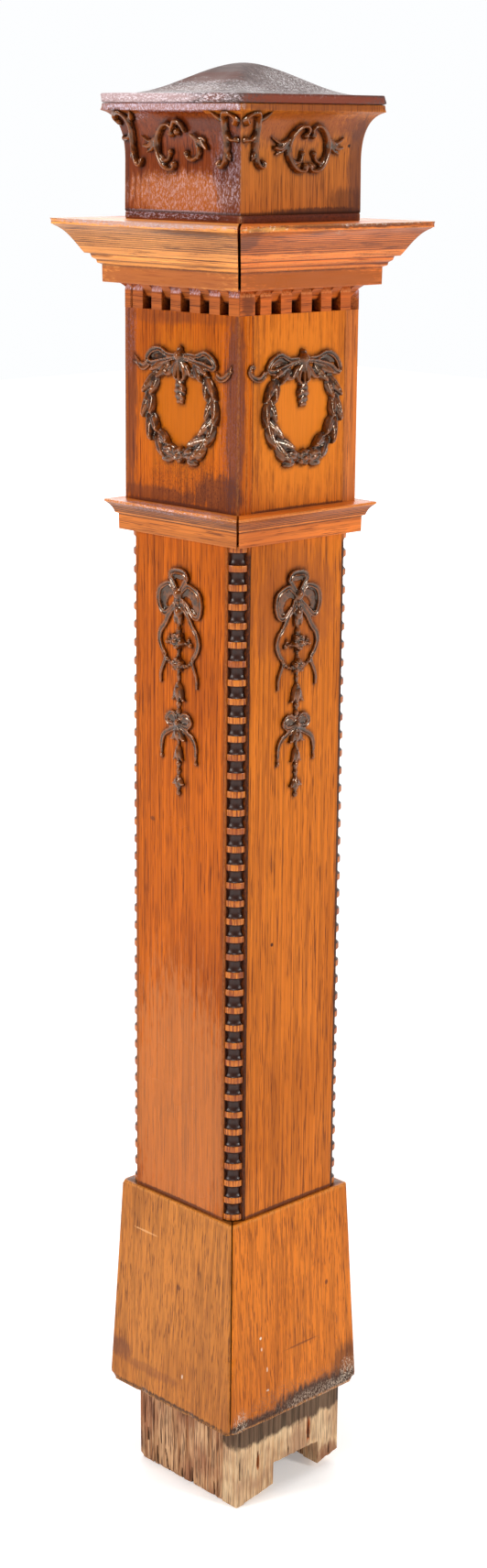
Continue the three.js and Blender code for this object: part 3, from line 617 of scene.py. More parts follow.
post_right_oak = oak(
    "varnished oak, right of the post", 2, (192, 102, 18), gloss=0.4, coat=0.03, specular=0.12,
    stains=[((76, 0, 1085), (9, 66, 90), (218, 120, 26), 0.8),
            ((76, -59, 1085), (9, 1.8, 100), DARK_EDGE, 0.55),
            ((76, -52, 1085), (9, 3.0, 80), SHADOW_BROWN, 0.4),
            ((76, 0, 994.5), (9, 90, 2.2), DARK_EDGE, 0.85),
            ((76, 60, 1085), (9, 2.0, 110), SHADOW_BROWN, 0.5),
            ((76, -26.8, 579), (9, 2.2, 2.2), (60, 26, 14), 0.95),
            # The dark line at 308 mm is a painted shadow in the gap above the base.
            ((76, 0, 308), (9, 90, 2.6), DARK_EDGE, 0.85), ((76, 0, 900), (9, 60, 60), (150, 76, 30), 0.55),
            ((76, 61, 640), (9, 3.0, 400), SHADOW_BROWN, 0.4)])
post_plain_oak = oak("varnished oak, plain sides of the post", 2, (186, 98, 30), gloss=0.4, coat=0.12)


def post_heights(drop_rows, wreath_rows):
    """Heights up the post, close together behind the ornaments and at the step the necking hides."""
    return np.concatenate([
        np.linspace(BASE_TOP, 706.0, 24), np.linspace(708.0, 946.0, drop_rows),
        [955.0, NECK_BOTTOM, NECK_BOTTOM + 0.1, 979.0, 979.4, NECK_TOP - 0.1, NECK_TOP, 1004.0],
        np.linspace(1014.0, 1152.0, wreath_rows), [1161.0, FRIEZE_TOP]])


def full_width_board(heights, counts):
    """The front board's outline at each height: rebated at both ends below the necking, square above it."""
    shaft = [(-REBATE_HALF, -POST_HALF), (REBATE_HALF, -POST_HALF), (REBATE_HALF, -REBATE_HALF),
             (POST_HALF, -REBATE_HALF), (POST_HALF, -BORE_HALF), (-POST_HALF, -BORE_HALF),
             (-POST_HALF, -REBATE_HALF), (-REBATE_HALF, -REBATE_HALF)]
    frieze = [(-POST_HALF, -POST_HALF), (POST_HALF, -POST_HALF), (POST_HALF, -72.0), (POST_HALF, -66.0),
              (POST_HALF, -BORE_HALF), (-POST_HALF, -BORE_HALF), (-POST_HALF, -66.0), (-POST_HALF, -72.0)]
    corners = np.where((heights < 979.2)[:, None, None], np.array([shaft]), np.array([frieze]))
    return eased_rings(corners, counts, 0.9)


fine_heights, plain_heights = post_heights(106, 62), post_heights(16, 10)
for side, quarter, finish in (("front", 0, post_front_oak), ("back", 2, post_plain_oak)):
    heights = fine_heights if side == "front" else plain_heights
    counts = (56, 6, 6, 2, 24, 2, 6, 6) if side == "front" else (24, 4, 4, 1, 12, 1, 4, 4)
    flat, turn = full_width_board(heights, counts)
    # The rebate faces behind the rods are darkened nearly black: painted shade, seen in the gaps beside the
    # rods.
    in_rebate = (np.abs(flat[..., 0]) > REBATE_HALF - 0.6) & (flat[..., 1] > -POST_HALF + 1.5)
    in_rebate = in_rebate & (heights < NECK_BOTTOM)[:, None]
    shell(f"{side}_post_board", turned(board_points(flat, heights), quarter), finish,
          [f"post_board_{side}"], wear_and_sheen=np.clip(turn, 0, 1) * 0.3, grime_and_shade=in_rebate * 0.95)
for side, quarter, finish in (("right", 1, post_right_oak), ("left", 3, post_plain_oak)):
    heights = fine_heights if side == "right" else plain_heights
    outline = oblong(-BORE_HALF, -POST_HALF, BORE_HALF, -BORE_HALF)
    flat, turn = eased_rings(np.repeat([outline], len(heights), axis=0),
                             (52, 4, 20, 4) if side == "right" else (22, 3, 12, 3), 0.35)
    shell(f"{side}_post_board", turned(board_points(flat, heights), quarter), finish,
          [f"post_board_{side}"])

# Corner rods: lengths of turned moulding split in four and glued into the rebates. Flat bands are
# varnished, and the coves between them are stained nearly black and polished.
ROD_RADIUS, ROD_PITCH, ROD_BAND, ROD_BANDS, COVE_DEPTH = 12.2, 17.62, 5.9, 38, 2.8


def rod_points():
    """A quarter of a turned rod: radius r(z) swept through 90 degrees, closed by its two flat backs.

    Within one pitch, v mm below a band's top edge, the radius is full over the band, with both edges
    eased, and full less the cove's depth times a half sine to the power 0.6 over the rest.
    """
    band = [0.05, 0.35, 0.9, 3.0, 5.0, 5.55, 5.85, 6.0, 6.25]
    v = np.concatenate([band, np.linspace(6.8, 16.8, 12), [17.3, 17.5]])
    share = np.clip((v - ROD_BAND) / (ROD_PITCH - ROD_BAND), 0, 1)
    cut = COVE_DEPTH * np.sin(np.pi * share) ** 0.6 + 0.35 * (share > 0)
    edge = 0.3 * (np.exp(-v / 0.35) + np.exp(-np.abs(ROD_BAND - v) / 0.35)) * (share == 0)
    below = (np.arange(ROD_BANDS) * ROD_PITCH)[:, None] + v[None]
    heights = NECK_BOTTOM - below.ravel()
    radius = np.tile(ROD_RADIUS - cut - edge, ROD_BANDS)
    cove = np.tile((share > 0).astype(float), ROD_BANDS)
    kept = heights > BASE_TOP
    heights = np.concatenate([[NECK_BOTTOM], heights[kept], [BASE_TOP]])
    radius, cove = (np.concatenate([run[:1], run[kept], run[kept][-1:]]) for run in (radius, cove))
    angles = np.radians(np.linspace(-90.0, 0.0, 12))
    ring_x = np.concatenate([np.cos(angles), [0.0]])
    ring_y = np.concatenate([np.sin(angles), [0.0]])
    points = np.stack([REBATE_HALF + radius[:, None] * ring_x, -REBATE_HALF + radius[:, None] * ring_y,
                       np.broadcast_to(heights[:, None], (len(heights), len(ring_x)))], axis=-1)
    return points, cove


def rod_finish():
    """Amber varnished bands with upright grain, and nearly black coves with a hard polish."""
    material, tree, shader = fresh_material("varnished bands and black coves", 0.3, 0.12, 0.3)
    place = object_place(tree)
    grain = noise(tree, scaled(tree, place, (620.0, 620.0, 40.0)), detail=3.0, rough=0.6)
    along = noise(tree, scaled(tree, place, (4.0, 4.0, 42.0)), detail=2.0)
    colour = mixed(tree, fade(tree, grain, 0.34, 0.62), tinted(120, 48, 10), tinted(208, 118, 36))
    colour = mixed(tree, fade(tree, along, 0.45, 0.65, 0.0, 0.6), colour, tinted(140, 62, 26))
    scuff = noise(tree, scaled(tree, place, (260.0, 260.0, 160.0)), detail=3.0)
    black = mixed(tree, scuff, tinted(24, 8, 4), tinted(62, 27, 12))
    colour = mixed(tree, fade(tree, stored(tree, "grime_and_shade"), 0.2, 0.6), colour, black)
    dress(tree, shader, colour, fade(tree, scuff, 0.3, 0.7, 0.3, 0.42), grain, 0.3, 0.0003)
    return material


rod_points_front_right, rod_cove = rod_points()
rod_material = rod_finish()
for quarter, side in enumerate(SIDES):
    following = SIDES[(quarter + 1) % 4]
    shell(f"{side}_{following}_rod", turned(rod_points_front_right, quarter), rod_material,
          [f"corner_rod_{side}_{following}"], grime_and_shade=rod_cove[:, None], sharp=40.0)

# Necking: four mitred lengths of a small ogee moulding pinned round the post over the tops of the rods,
# in a shallow seat. The joint at the near corner has opened a little.
def bezier(points, count):
    """Points on a Bezier curve of any degree, by repeated straight blending of its control points."""
    t = np.linspace(0.0, 1.0, count)[:, None, None]
    level_points = np.broadcast_to(np.asarray(points, float), (count, len(points), 2))
    while level_points.shape[1] > 1:
        level_points = level_points[:, :-1] * (1 - t) + level_points[:, 1:] * t
    return level_points[:, 0]


SECTION_STEP, SECTION_MOST, SECTION_EASE = 1.6, 9, 0.35


def moulding_section(corners):
    """An eased outline of a moulding, with a point about every step and at most 9 between two corners."""
    corners = np.asarray(corners, float)
    lengths = np.linalg.norm(np.roll(corners, -1, axis=0) - corners, axis=-1)
    counts = np.minimum((lengths / SECTION_STEP).astype(int), SECTION_MOST)
    flat, turn = eased_rings([corners], counts, SECTION_EASE, bends=3)
    return flat[0], turn


neck_section, neck_turn = moulding_section(np.vstack([
    [(SEAT_HALF, NECK_BOTTOM), (80.8, NECK_BOTTOM), (81.0, 979.5)],
    bezier([(83.5, 980.5), (85.0, 987.0), (90.5, 991.0)], 8),
    [(90.5, 993.0), (POST_HALF, NECK_TOP), (SEAT_HALF, NECK_TOP)]]))
# A whitish lavender for painted sheen.
LILAC_SHEEN = (214, 198, 214)
neck_front_oak = oak("varnished oak, front of the necking", 0, (190, 106, 36),
                     # The lavender flecks along the top fillet are painted sheen.
                     flecks=[((0, -88, 992), (90, 10, 5), LILAC_SHEEN, 0.8)])
neck_right_oak = oak("varnished oak, right of the necking", 1, (210, 112, 38), coat=0.08)
for quarter, side in enumerate(SIDES):
    points = turned(mitred(neck_section, end_shares(60, 181.0), side, 1.5, 0.6), quarter)
    points = bitten(points, [(89, -89, 990, 3, 1.6), (40, -90, 992, 3, 0.8), (90, 20, 992, 3, 0.8)])
    shell(f"{side}_necking", points, neck_front_oak if quarter % 2 == 0 else neck_right_oak,
          [f"necking_{side}"], wear_and_sheen=np.clip(neck_turn, 0, 1) * (neck_section[:, 0] > 82),
          grime_and_shade=np.clip(-neck_turn, 0, 1) * 0.8)

# Dentil strips: planed strips sawn into square blocks, with a tongue left between each pair that curls
# out over a deep notch. They are pinned above the frieze and mitred at the corners.
CORNICE_BOTTOM = 1193.0
DENTIL_PITCH, DENTIL_WIDTH, DENTIL_ROOT, TONGUE_FOOT = 25.6, 14.0, 66.0, 1180.4


def dentil_points(first_block, left_edge, right_edge):
    """One strip: at each place along it the outer face is a block, or a notch with a tongue above it.

    A block's face is flush with the post and rolls back over its top edge by a quarter ellipse. A tongue
    starts above the notch and curls out. A smooth step 0.5 mm wide joins the two. Past 55 mm from the
    middle the places spread in proportion to the distance out, which makes the mitres.
    """
    centres = first_block + DENTIL_PITCH * np.arange(5)
    block_edges = np.concatenate([centres - DENTIL_WIDTH / 2, centres + DENTIL_WIDTH / 2])
    edges = np.sort(np.concatenate([block_edges, [left_edge, right_edge]]))
    close = np.array([-0.5, -0.25, 0.0, 0.25, 0.5])
    limit = POST_HALF - MITRE_GAP
    places = np.concatenate([(edges[:, None] + close).ravel(), np.linspace(-limit, limit, 90)])
    places = np.unique(np.clip(places, -limit, limit))
    places = places[np.concatenate([[True], np.diff(places) > 0.05])]
    apart = np.abs(places[:, None] - centres) - DENTIL_WIDTH / 2
    far = np.minimum(apart.min(axis=1), np.minimum(places - left_edge, right_edge - places))
    notch = np.clip(far / 0.5 + 0.5, 0, 1)
    notch = notch * notch * (3 - 2 * notch)
    heights = np.array([FRIEZE_TOP, 1170.9, 1174.0, 1178.0, 1180.3, TONGUE_FOOT, 1180.9, 1182.5, 1184.2,
                        1185.8, 1187.2, 1188.6, 1189.8, 1190.8, 1191.6, 1192.3, 1192.8, CORNICE_BOTTOM])
    roll = np.clip((heights - 1185.8) / 7.2, 0, 1)
    block = POST_HALF - 5.2 * (1 - np.sqrt(1 - roll ** 2 * 0.96))
    tongue = np.interp(heights, [TONGUE_FOOT, 1182.5, 1186.0, 1190.0, 1193.0],
                       [70.6, 71.6, 73.6, 77.0, 80.5])
    tongue = np.where(heights < TONGUE_FOOT, DENTIL_ROOT, tongue)
    out = block + (tongue - block) * notch[:, None]
    out = np.concatenate([out, np.full((len(places), 2), BORE_HALF)], axis=1)
    up = np.broadcast_to(np.concatenate([heights, [CORNICE_BOTTOM, FRIEZE_TOP]]), out.shape)
    spread = np.clip(np.abs(places) - 55, 0, None)[:, None] / (POST_HALF - 55)
    along = np.where(np.abs(places)[:, None] > 55,
                     np.sign(places)[:, None] * (55 + spread * (out - 55)), places[:, None])
    # The notches and the blocks' sawn sides are darkened nearly black: painted shade in the deep notches,
    # and on the sides painted shade with the darker end grain.
    in_notch = notch[:, None] * (up < TONGUE_FOOT + 1.5) * (out < 74) * (out > BORE_HALF + 1)
    beside = 2.6 * (notch * (1 - notch))[:, None] * (up < 1191) * (out > 62)
    in_notch = np.maximum(in_notch, beside)
    # on_roll marks the blocks' rolled tops, which take a painted sheen.
    on_roll = (1 - notch)[:, None] * (up > 1187) * (out > 62)
    return np.stack([along, -out, up], axis=-1), in_notch, on_roll


# Both tints on the blocks' rolled tops are painted sheen: lavender on the front, a paler orange on the
# right.
dentil_front_oak = oak("varnished oak, front dentils", 0, (166, 86, 30), worn_and_sheen_tint=LILAC_SHEEN)
dentil_right_oak = oak("varnished oak, right dentils", 1, (178, 88, 28), worn_and_sheen_tint=(206, 140, 86),
                       stains=[((78, -66, 1180), (9, 9, 16), SHADOW_BROWN, 0.75)])
for quarter, side in enumerate(SIDES):
    layout = (-58.4, -68.2, 62.1) if quarter % 2 == 0 else (-43.8, -57.0, 77.0)
    strip, in_notch, on_roll = dentil_points(*layout)
    if quarter % 2:
        in_notch = in_notch * (strip[..., 0] < 66)
    finish = dentil_front_oak if quarter % 2 == 0 else dentil_right_oak
    shell(f"{side}_dentils", turned(strip, quarter), finish, [f"dentil_strip_{side}"],
          wear_and_sheen=on_roll, grime_and_shade=in_notch * 0.95, sharp=40.0)

# Cornice: four mitred lengths of crown moulding nailed over the dentils. The joint at the near corner
# stands open, and the top fillet of the right length is chipped beside it.
CORNICE_TOP = 1250.0
cornice_section, cornice_turn = moulding_section(np.vstack([
    [(BORE_HALF, CORNICE_BOTTOM), (91.1, CORNICE_BOTTOM), (91.3, 1208.8), (94.6, 1210.3), (95.1, 1213.0),
     (98.0, 1215.0), (99.0, 1218.5)],
    bezier([(102.8, 1219.0), (109.0, 1228.0), (114.0, 1241.0), (125.5, 1245.0)], 18),
    [(125.5, CORNICE_TOP), (BORE_HALF, CORNICE_TOP)]]))
cornice_front_oak = oak(
    "varnished oak, front of the cornice", 0, (226, 146, 72), coat=0.15,
    stains=[((0, -91, 1200), (130, 4, 12), (158, 82, 34), 0.85),
            # The pale lavender along the top fillet, here and in the flecks, is painted sheen.
            ((0, -124, 1250), (130, 10, 4.5), (170, 142, 140), 0.75),
            ((60, -118, 1243), (60, 9, 4), (92, 58, 48), 0.6)],
    flecks=[((0, -122, 1250), (130, 16, 5), (190, 168, 170), 0.95)])
cornice_right_oak = oak(
    "varnished oak, right of the cornice", 1, (212, 112, 44), coat=0.15,
    stains=[((91, 0, 1201), (4, 130, 11), (162, 84, 32), 0.95),
            ((124, 20, 1250), (9, 130, 4.5), (104, 58, 34), 0.9),
            ((122, -90, 1247), (9, 36, 2.0), (206, 150, 80), 0.7),
            ((118, -104, 1238), (14, 16, 12), PLUM, 0.6)],
    # The whitish flecks along the top towards the back are a painted reflection on the top surface.
    flecks=[((122, 50, 1251), (14, 80, 3.0), (196, 184, 176), 0.7),
            ((122, 2, 1243), (6, 5, 2.4), PAINT, 0.9), ((118, 40, 1232), (6, 2, 1.5), PAINT, 1.0)])
CORNICE_CHIPS = [
    (125, -118, 1249, 6, 3), (126, -104, 1250, 5, 2.4), (126, -90, 1250, 7, 2.4), (126, -72, 1250, 5, 2),
    (126, 5, 1250, 4, 1.6), (-60, -126, 1250, 4, 1.4), (-95, -126, 1250, 4, 1.4), (10, -126, 1250, 3, 1),
    (122, -122, 1247, 5, 2.4), (-124, -124, 1247, 4, 2), (124, 124, 1247, 4, 2)]
for quarter, side in enumerate(SIDES):
    shares = end_shares(96 if side in ("front", "right") else 36, 251.0)
    points = turned(mitred(cornice_section, shares, side, 1.8, 0.8), quarter)
    points = bitten(hollowed(points, (30.0, 30.0, 8.0), 51 + quarter, 0.25), CORNICE_CHIPS)
    finish = cornice_front_oak if quarter % 2 == 0 else cornice_right_oak
    shell(f"{side}_cornice", points, finish, [f"cornice_{side}"],
          wear_and_sheen=np.clip(cornice_turn, 0, 1) * (cornice_section[:, 0] > 92) * 0.8,
          grime_and_shade=np.clip(-cornice_turn, 0, 1) * 0.7)

# Cap: a thin base board on the cornice, and on it a box of four thick boards whose faces sweep out in a
# cove to a square fillet. The right and left boards run the full width. The old varnish has gone dark and
# crusted.
CAP_HALF, CAP_BORE, CAP_BOTTOM, CAP_TOP = 76.0, 42.0, 1256.7, 1351.7
COVE_FOOT, COVE_TOP, COVE_REACH, COVE_PULL = 1301.0, 1345.5, 16.0, 40.0
BURNT = (60, 26, 16)


def cove_out(heights):
    """How far the cap's face stands out: reach t^2, where t solves height = 2 pull t + bend t^2."""
    bend = COVE_TOP - COVE_FOOT - 2 * COVE_PULL
    climb = np.clip(heights, COVE_FOOT, COVE_TOP) - COVE_FOOT
    t = (np.sqrt(COVE_PULL ** 2 + bend * climb) - COVE_PULL) / bend
    return COVE_REACH * t * t


cap_front_oak = oak(
    "dark varnished oak, front of the cap", 2, (118, 50, 10), gloss=0.24, coat=0.2, crust=0.7,
    stains=[((0, -76, 1272), (80, 9, 22), (184, 104, 44), 0.7), ((62, -76, 1290), (20, 9, 40), PLUM, 0.7),
            # The lavender line at the lower edge is a painted highlight, and the pale pink on the top fillet
            # a painted sheen.
            ((0, -76, 1257.5), (90, 9, 2.0), LILAC_SHEEN, 0.7),
            ((0, -92, 1349), (120, 9, 4.5), (186, 152, 150), 0.55),
            ((-66, -88, 1338), (14, 20, 10), PLUM, 0.6), ((-74, -76, 1290), (5, 9, 60), PLUM, 0.6),
            ((30, -84, 1334), (60, 16, 8), (84, 34, 14), 0.6)],
    # The whitish flecks low on the face are painted glints, and the lavender ones painted sheen.
    flecks=[((6, -76, 1274), (80, 9, 20), (226, 206, 210), 0.4),
            ((60, -76, 1290), (22, 9, 40), LILAC_SHEEN, 0.35), ((0, -92, 1349), (120, 9, 5), LILAC_SHEEN, 0.9),
            ((-60, -92, 1345), (30, 20, 9), LILAC_SHEEN, 0.5)])
cap_right_oak = oak(
    "dark varnished oak, right of the cap", 2, (174, 98, 30), contrast=0.9, gloss=0.36, coat=0.12,
    stains=[((76, 30, 1259), (9, 80, 4), BURNT, 0.8), ((76, 72, 1300), (9, 14, 60), PLUM, 0.7),
            ((86, 70, 1330), (16, 30, 14), PLUM, 0.6), ((76, 60, 1268), (9, 30, 12), BURNT, 0.5),
            ((77, 59, 1316), (6, 1.8, 1.8), (30, 12, 8), 1.0),
            ((92, 0, 1349), (9, 120, 3.6), (104, 44, 20), 0.6),
            # The darker brown high on the cove is painted shade.
            ((84, -10, 1332), (16, 80, 16), (128, 58, 18), 0.6)])
cap_plain_oak = oak("dark varnished oak, plain sides of the cap", 2, (144, 74, 24), gloss=0.38, coat=0.2)

plate_heights = np.array([CORNICE_TOP, 1250.3, 1251.2, 1253.5, 1255.6, 1256.3, CAP_BOTTOM])
plate_inset = np.array([0.5, 0.15, 0.0, 0.0, 0.0, 0.2, 0.6])
plate_half = CAP_HALF - plate_inset
plate_flat, plate_turn = eased_rings(
    plate_half[:, None, None] * np.array([[(-1, -1), (1, -1), (1, 1), (-1, 1)]]), (40, 40, 40, 40), 1.2)
shell("cap_base_plate", board_points(plate_flat, plate_heights),
      oak("dark varnished oak, cap base", 0, (92, 38, 16),
          # The lavender flecks on its front are painted sheen.
          flecks=[((-20, -76, 1255), (80, 9, 4), LILAC_SHEEN, 0.5)]),
      ["cap_base_board"], wear_and_sheen=np.clip(plate_turn, 0, 1) * 0.5)

cap_heights = np.concatenate([[CAP_BOTTOM, 1257.1, 1258.0], np.linspace(1260.0, COVE_FOOT, 22),
                              np.linspace(COVE_FOOT, COVE_TOP, 34)[1:-1],
                              [COVE_TOP, 1345.9, 1347.0, 1349.0, 1350.6, 1351.3, CAP_TOP]])
cap_inset = np.interp(cap_heights, [CAP_BOTTOM, 1257.1, 1258.0, 1345.5, 1345.9, 1350.6, 1351.3, CAP_TOP],
                      [0.6, 0.2, 0.0, 0.5, 0.0, 0.0, 0.25, 0.8])
cap_face = CAP_HALF + cove_out(cap_heights) - cap_inset
# x and y of each corner, a number or a sign that multiplies the face's distance out, then finish and
# counts
CAP_BOARDS = {
    "front": (oblong(-CAP_BORE, "-", CAP_BORE, -CAP_BORE), cap_front_oak, (56, 10, 20, 10)),
    "right": (oblong(CAP_BORE, "-", "+", "+"), cap_right_oak, (26, 100, 26, 40)),
    "back": (oblong(-CAP_BORE, CAP_BORE, CAP_BORE, "+"), cap_plain_oak, (20, 10, 30, 10)),
    "left": (oblong("-", "-", -CAP_BORE, "+"), cap_plain_oak, (16, 40, 16, 50)),
}
SIGNS = {"-": -1.0, "+": 1.0}
cap_grime = np.interp(cap_heights, [CAP_BOTTOM, 1258.6, 1259.5, CAP_TOP], [0.9, 0.9, 0.0, 0.0])[:, None]
CAP_CHIPS = [(91, -91, 1350, 4, 1.6), (-91, -91, 1350, 5, 2), (92, 91, 1350, 4, 2)]
for side, (outline, finish, counts) in CAP_BOARDS.items():
    corners = np.zeros((len(cap_face), 4, 2))
    for corner, place in enumerate(outline):
        for axis, value in enumerate(place):
            corners[:, corner, axis] = cap_face * SIGNS[value] if value in SIGNS else value
    flat, turn = eased_rings(corners, counts, 0.35)
    points = bitten(board_points(flat, cap_heights), CAP_CHIPS)
    outer = np.abs(points[..., :2]).max(axis=-1) > CAP_HALF - 2
    corner = np.abs(points[..., :2]).min(axis=-1) > CAP_HALF - 2
    piece = shell(f"{side}_cap_board", points, finish, [f"cap_board_{side}"],
                  wear_and_sheen=np.clip(turn, 0, 1) * corner * 0.4, grime_and_shade=cap_grime * outer)
    if side in ("right", "left"):
        # The ends of these boards show on the front face, in the front's finish
        piece.data.materials.append(cap_front_oak)
        normals = np.empty(len(piece.data.polygons) * 3, dtype=np.float32)
        piece.data.polygons.foreach_get("normal", normals)
        facing_front = (normals.reshape(-1, 3)[:, 1] < -0.6).astype(np.int32)
        piece.data.polygons.foreach_set("material_index", facing_front)

# Lid: one thick board with a rounded edge, worked into a low four-sided ogee dome. Its varnish is
# blistered, with painted whitish sheen along the front of the edge and painted glare on the dome's skirt
# and right flank, and what is left on the dome is dark.
LID_HALF, DOME_HALF, LID_BOTTOM, SLAB_TOP, TOTAL_HEIGHT = 92.7, 78.0, 1352.0, 1360.5, 1388.0


def lid_points():
    """Rounded-square rings, each with its half width, height and squareness.

    A point at angle a lies at half (cos a, sin a) over the p-norm of (cos a, sin a). The dome's height is
    the slab's plus its rise times a smooth step of 1 - half / dome half.
    """
    square = eased_rings([oblong(-1.0, -1.0, 1.0, 1.0)], (46, 46, 46, 46), 0.06)[0]
    angle = np.arctan2(square[0, :, 1], square[0, :, 0])
    dome_halves = np.concatenate([np.linspace(90.0, DOME_HALF, 6), np.linspace(76.0, 2.0, 40), [0.6]])
    climb = np.clip(1 - dome_halves / DOME_HALF, 0, 1)
    dome_heights = SLAB_TOP + (TOTAL_HEIGHT - SLAB_TOP) * climb ** 2 * (3 - 2 * climb)
    edge_halves = LID_HALF - np.array([4.0, 1.6, 0.5, 0.0, 0.0, 0.3, 0.9, 1.8])
    halves = np.concatenate([edge_halves, dome_halves])
    edge_heights = [LID_BOTTOM, LID_BOTTOM + 0.2, LID_BOTTOM + 1.0, LID_BOTTOM + 2.2, 1357.5, 1359.0, 1360.0,
                    1360.4]
    heights = np.concatenate([edge_heights, dome_heights])
    power = np.concatenate([np.full(8, 110.0), np.linspace(90.0, 20.0, 6), 6 + dome_halves[6:] / 6])
    cosine, sine = np.abs(np.cos(angle))[None], np.abs(np.sin(angle))[None]
    spread = (cosine ** power[:, None] + sine ** power[:, None]) ** (1 / power[:, None])
    ring_x = halves[:, None] * np.cos(angle) / spread
    ring_y = halves[:, None] * np.sin(angle) / spread
    points = np.stack([ring_x, ring_y, np.broadcast_to(heights[:, None], ring_x.shape)], axis=-1)
    sunk = 0.35 * half_waver(points, (40.0, 40.0, 40.0), 61)
    points[..., 2] -= np.where(halves[:, None] < 91, sunk, 0.0)
    return bitten(points, [(-92, -90, 1356, 5, 2), (92, 92, 1358, 5, 2), (92, -92, 1358, 3, 1.2),
                           (20, -93, 1358, 3, 0.8)])


lid_oak = oak(
    "pale varnished oak with painted sheen, lid", 0, (84, 64, 60), gloss=0.5, coat=0.0, crust=0.9, specular=0.25,
    stains=[((-4, -42, 1376), (50, 16, 9), (84, 38, 22), 0.9),
            ((-8, -62, 1366), (60, 10, 4), (110, 76, 64), 0.5),
            ((94, 0, 1356), (4.6, 110, 7), (120, 50, 26), 0.95),
            ((94, 0, 1360), (4, 110, 2), (70, 30, 20), 0.6),
            # The pale stain along the front of the edge is painted sheen.
            ((-40, -93, 1357), (90, 5, 8), (190, 160, 160), 0.75),
            ((60, -93, 1357), (16, 5, 5), (130, 80, 70), 0.5)],
    # The whitish flecks are painted light: sheen on the front of the edge, glare on the dome's skirt and a
    # highlight on its right flank.
    flecks=[((0, -93, 1356), (110, 6, 9), (226, 212, 218), 0.9),
            ((0, 0, 1364), (100, 100, 10), (214, 206, 208), 0.6),
            ((44, 30, 1374), (50, 50, 12), (196, 190, 190), 0.8)])
shell("domed_lid", lid_points(), lid_oak, ["lid"], sharp=50.0)

# Wreaths: laurel leaves and flowers under a bow, cast in composition from one mould, pinned to the frieze
# and varnished nearly black. The right one has lost a ribbon tail.
def spline(points, count):
    """Points spaced evenly along a Catmull-Rom curve through the given ones."""
    knots = np.asarray(points, float)
    padded = np.vstack([2 * knots[0] - knots[1], knots, 2 * knots[-1] - knots[-2]])
    t = np.linspace(0, len(knots) - 1, 200)
    i = np.minimum(t.astype(int), len(knots) - 2)
    f = (t - i)[:, None]
    a, b, c, d = padded[i], padded[i + 1], padded[i + 2], padded[i + 3]
    curve = 2 * b + (c - a) * f + (2 * a - 5 * b + 4 * c - d) * f ** 2 + (3 * b - a - 3 * c + d) * f ** 3
    curve = 0.5 * curve
    run = np.concatenate([[0.0], np.cumsum(np.linalg.norm(np.diff(curve, axis=0), axis=-1))])
    even = np.linspace(0, run[-1], count)
    return np.stack([np.interp(even, run, curve[:, 0]), np.interp(even, run, curve[:, 1])], axis=-1)


CAST_BACK = -0.5


def stroke(path, half, rise, form, lift=0.0, stations=36):
    """A raised band along a curve on the face, flat behind.

    With t from 0 to 1 along the curve and s from -1 to 1 across it, the point is path(t) + s half(t)
    side(t), and it stands lift + rise(t) form(s, t) off the face. Returns rings of (across, out, up).
    """
    t = np.linspace(0.0, 1.0, stations)
    line = spline(path, stations)
    way = np.gradient(line, axis=0)
    way /= np.linalg.norm(way, axis=-1, keepdims=True) + 1e-9
    side = np.stack([way[:, 1], -way[:, 0]], axis=-1)
    s = np.sin(np.linspace(-np.pi / 2, np.pi / 2, 13))
    flat = line[:, None] + side[:, None] * (half(t)[:, None] * s)[..., None]
    out = lift + rise(t)[:, None] * form(s[None], t[:, None])
    front = np.stack([flat[..., 0], out, flat[..., 1]], axis=-1)
    back = front[:, [12, 0]].copy()
    back[..., 1] = CAST_BACK
    return np.concatenate([front, back], axis=1)


def round_form(s, t):
    return np.sqrt(np.clip(1 - s ** 2, 0, 1))


def ribbon_form(s, t):
    """Cupped: its edges stand above its middle."""
    return (0.5 + 0.5 * s ** 2) * np.clip(1 - np.abs(s) ** 9, 0, 1) ** 0.5


def leaf_form(s, t):
    """A full leaf with a groove down its midrib and faint veins."""
    body = np.clip(1 - s ** 2, 0, 1) ** 0.55
    return body * (1 - 0.16 * np.exp(-(s / 0.14) ** 2)) * (1 + 0.01 * np.cos(22 * t + 9 * np.abs(s)))


def leaf(root, tip, half, rise, bow=0.0, lift=0.0):
    """A pointed leaf: its half width follows a sine of t^0.8, and it rises most just past its middle."""
    root, tip = np.asarray(root, float), np.asarray(tip, float)
    way = tip - root
    middle = (root + tip) / 2 + np.array([way[1], -way[0]]) * bow
    return stroke([root, middle, tip], lambda t: half * np.sin(np.pi * t ** 0.8) ** 0.75 + 0.05,
                  lambda t: rise * (0.35 + 0.65 * np.sin(np.pi * t ** 1.2) ** 0.7), leaf_form, lift, 22)


def bead(middle, half, long, rise, lift=0.0):
    """A round or egg-shaped boss: half width and rise both follow a half circle along its length."""
    def arc(t):
        return np.sqrt(np.clip(1 - (2 * t - 1) ** 2, 0, 1))

    ends = [(middle[0], middle[1] + long), middle, (middle[0], middle[1] - long)]
    return stroke(ends, lambda t: half * arc(t) + 0.02, lambda t: rise * arc(t), round_form, lift, 15)


PETALS = 5


def flower(middle, radius, rise, spin):
    """Round petals about a bead."""
    pieces = [bead(middle, radius * 0.34, radius * 0.34, rise * 0.8, lift=rise * 0.45)]
    middle = np.asarray(middle)
    for number in range(PETALS):
        angle = spin + 2 * math.pi * number / PETALS
        way = np.array([math.sin(angle), math.cos(angle)])
        petal = leaf(middle + way * radius * 0.1, middle + way * radius, radius * 0.46, rise, lift=0.2)
        pieces.append(petal)
    return pieces


def even(size):
    return lambda t: np.full_like(t, size)


def tapered(size, end):
    return lambda t: size * (1 - (1 - end) * t)


def swelled(size, least):
    return lambda t: size * (least + (1 - least) * np.sin(np.pi * t))


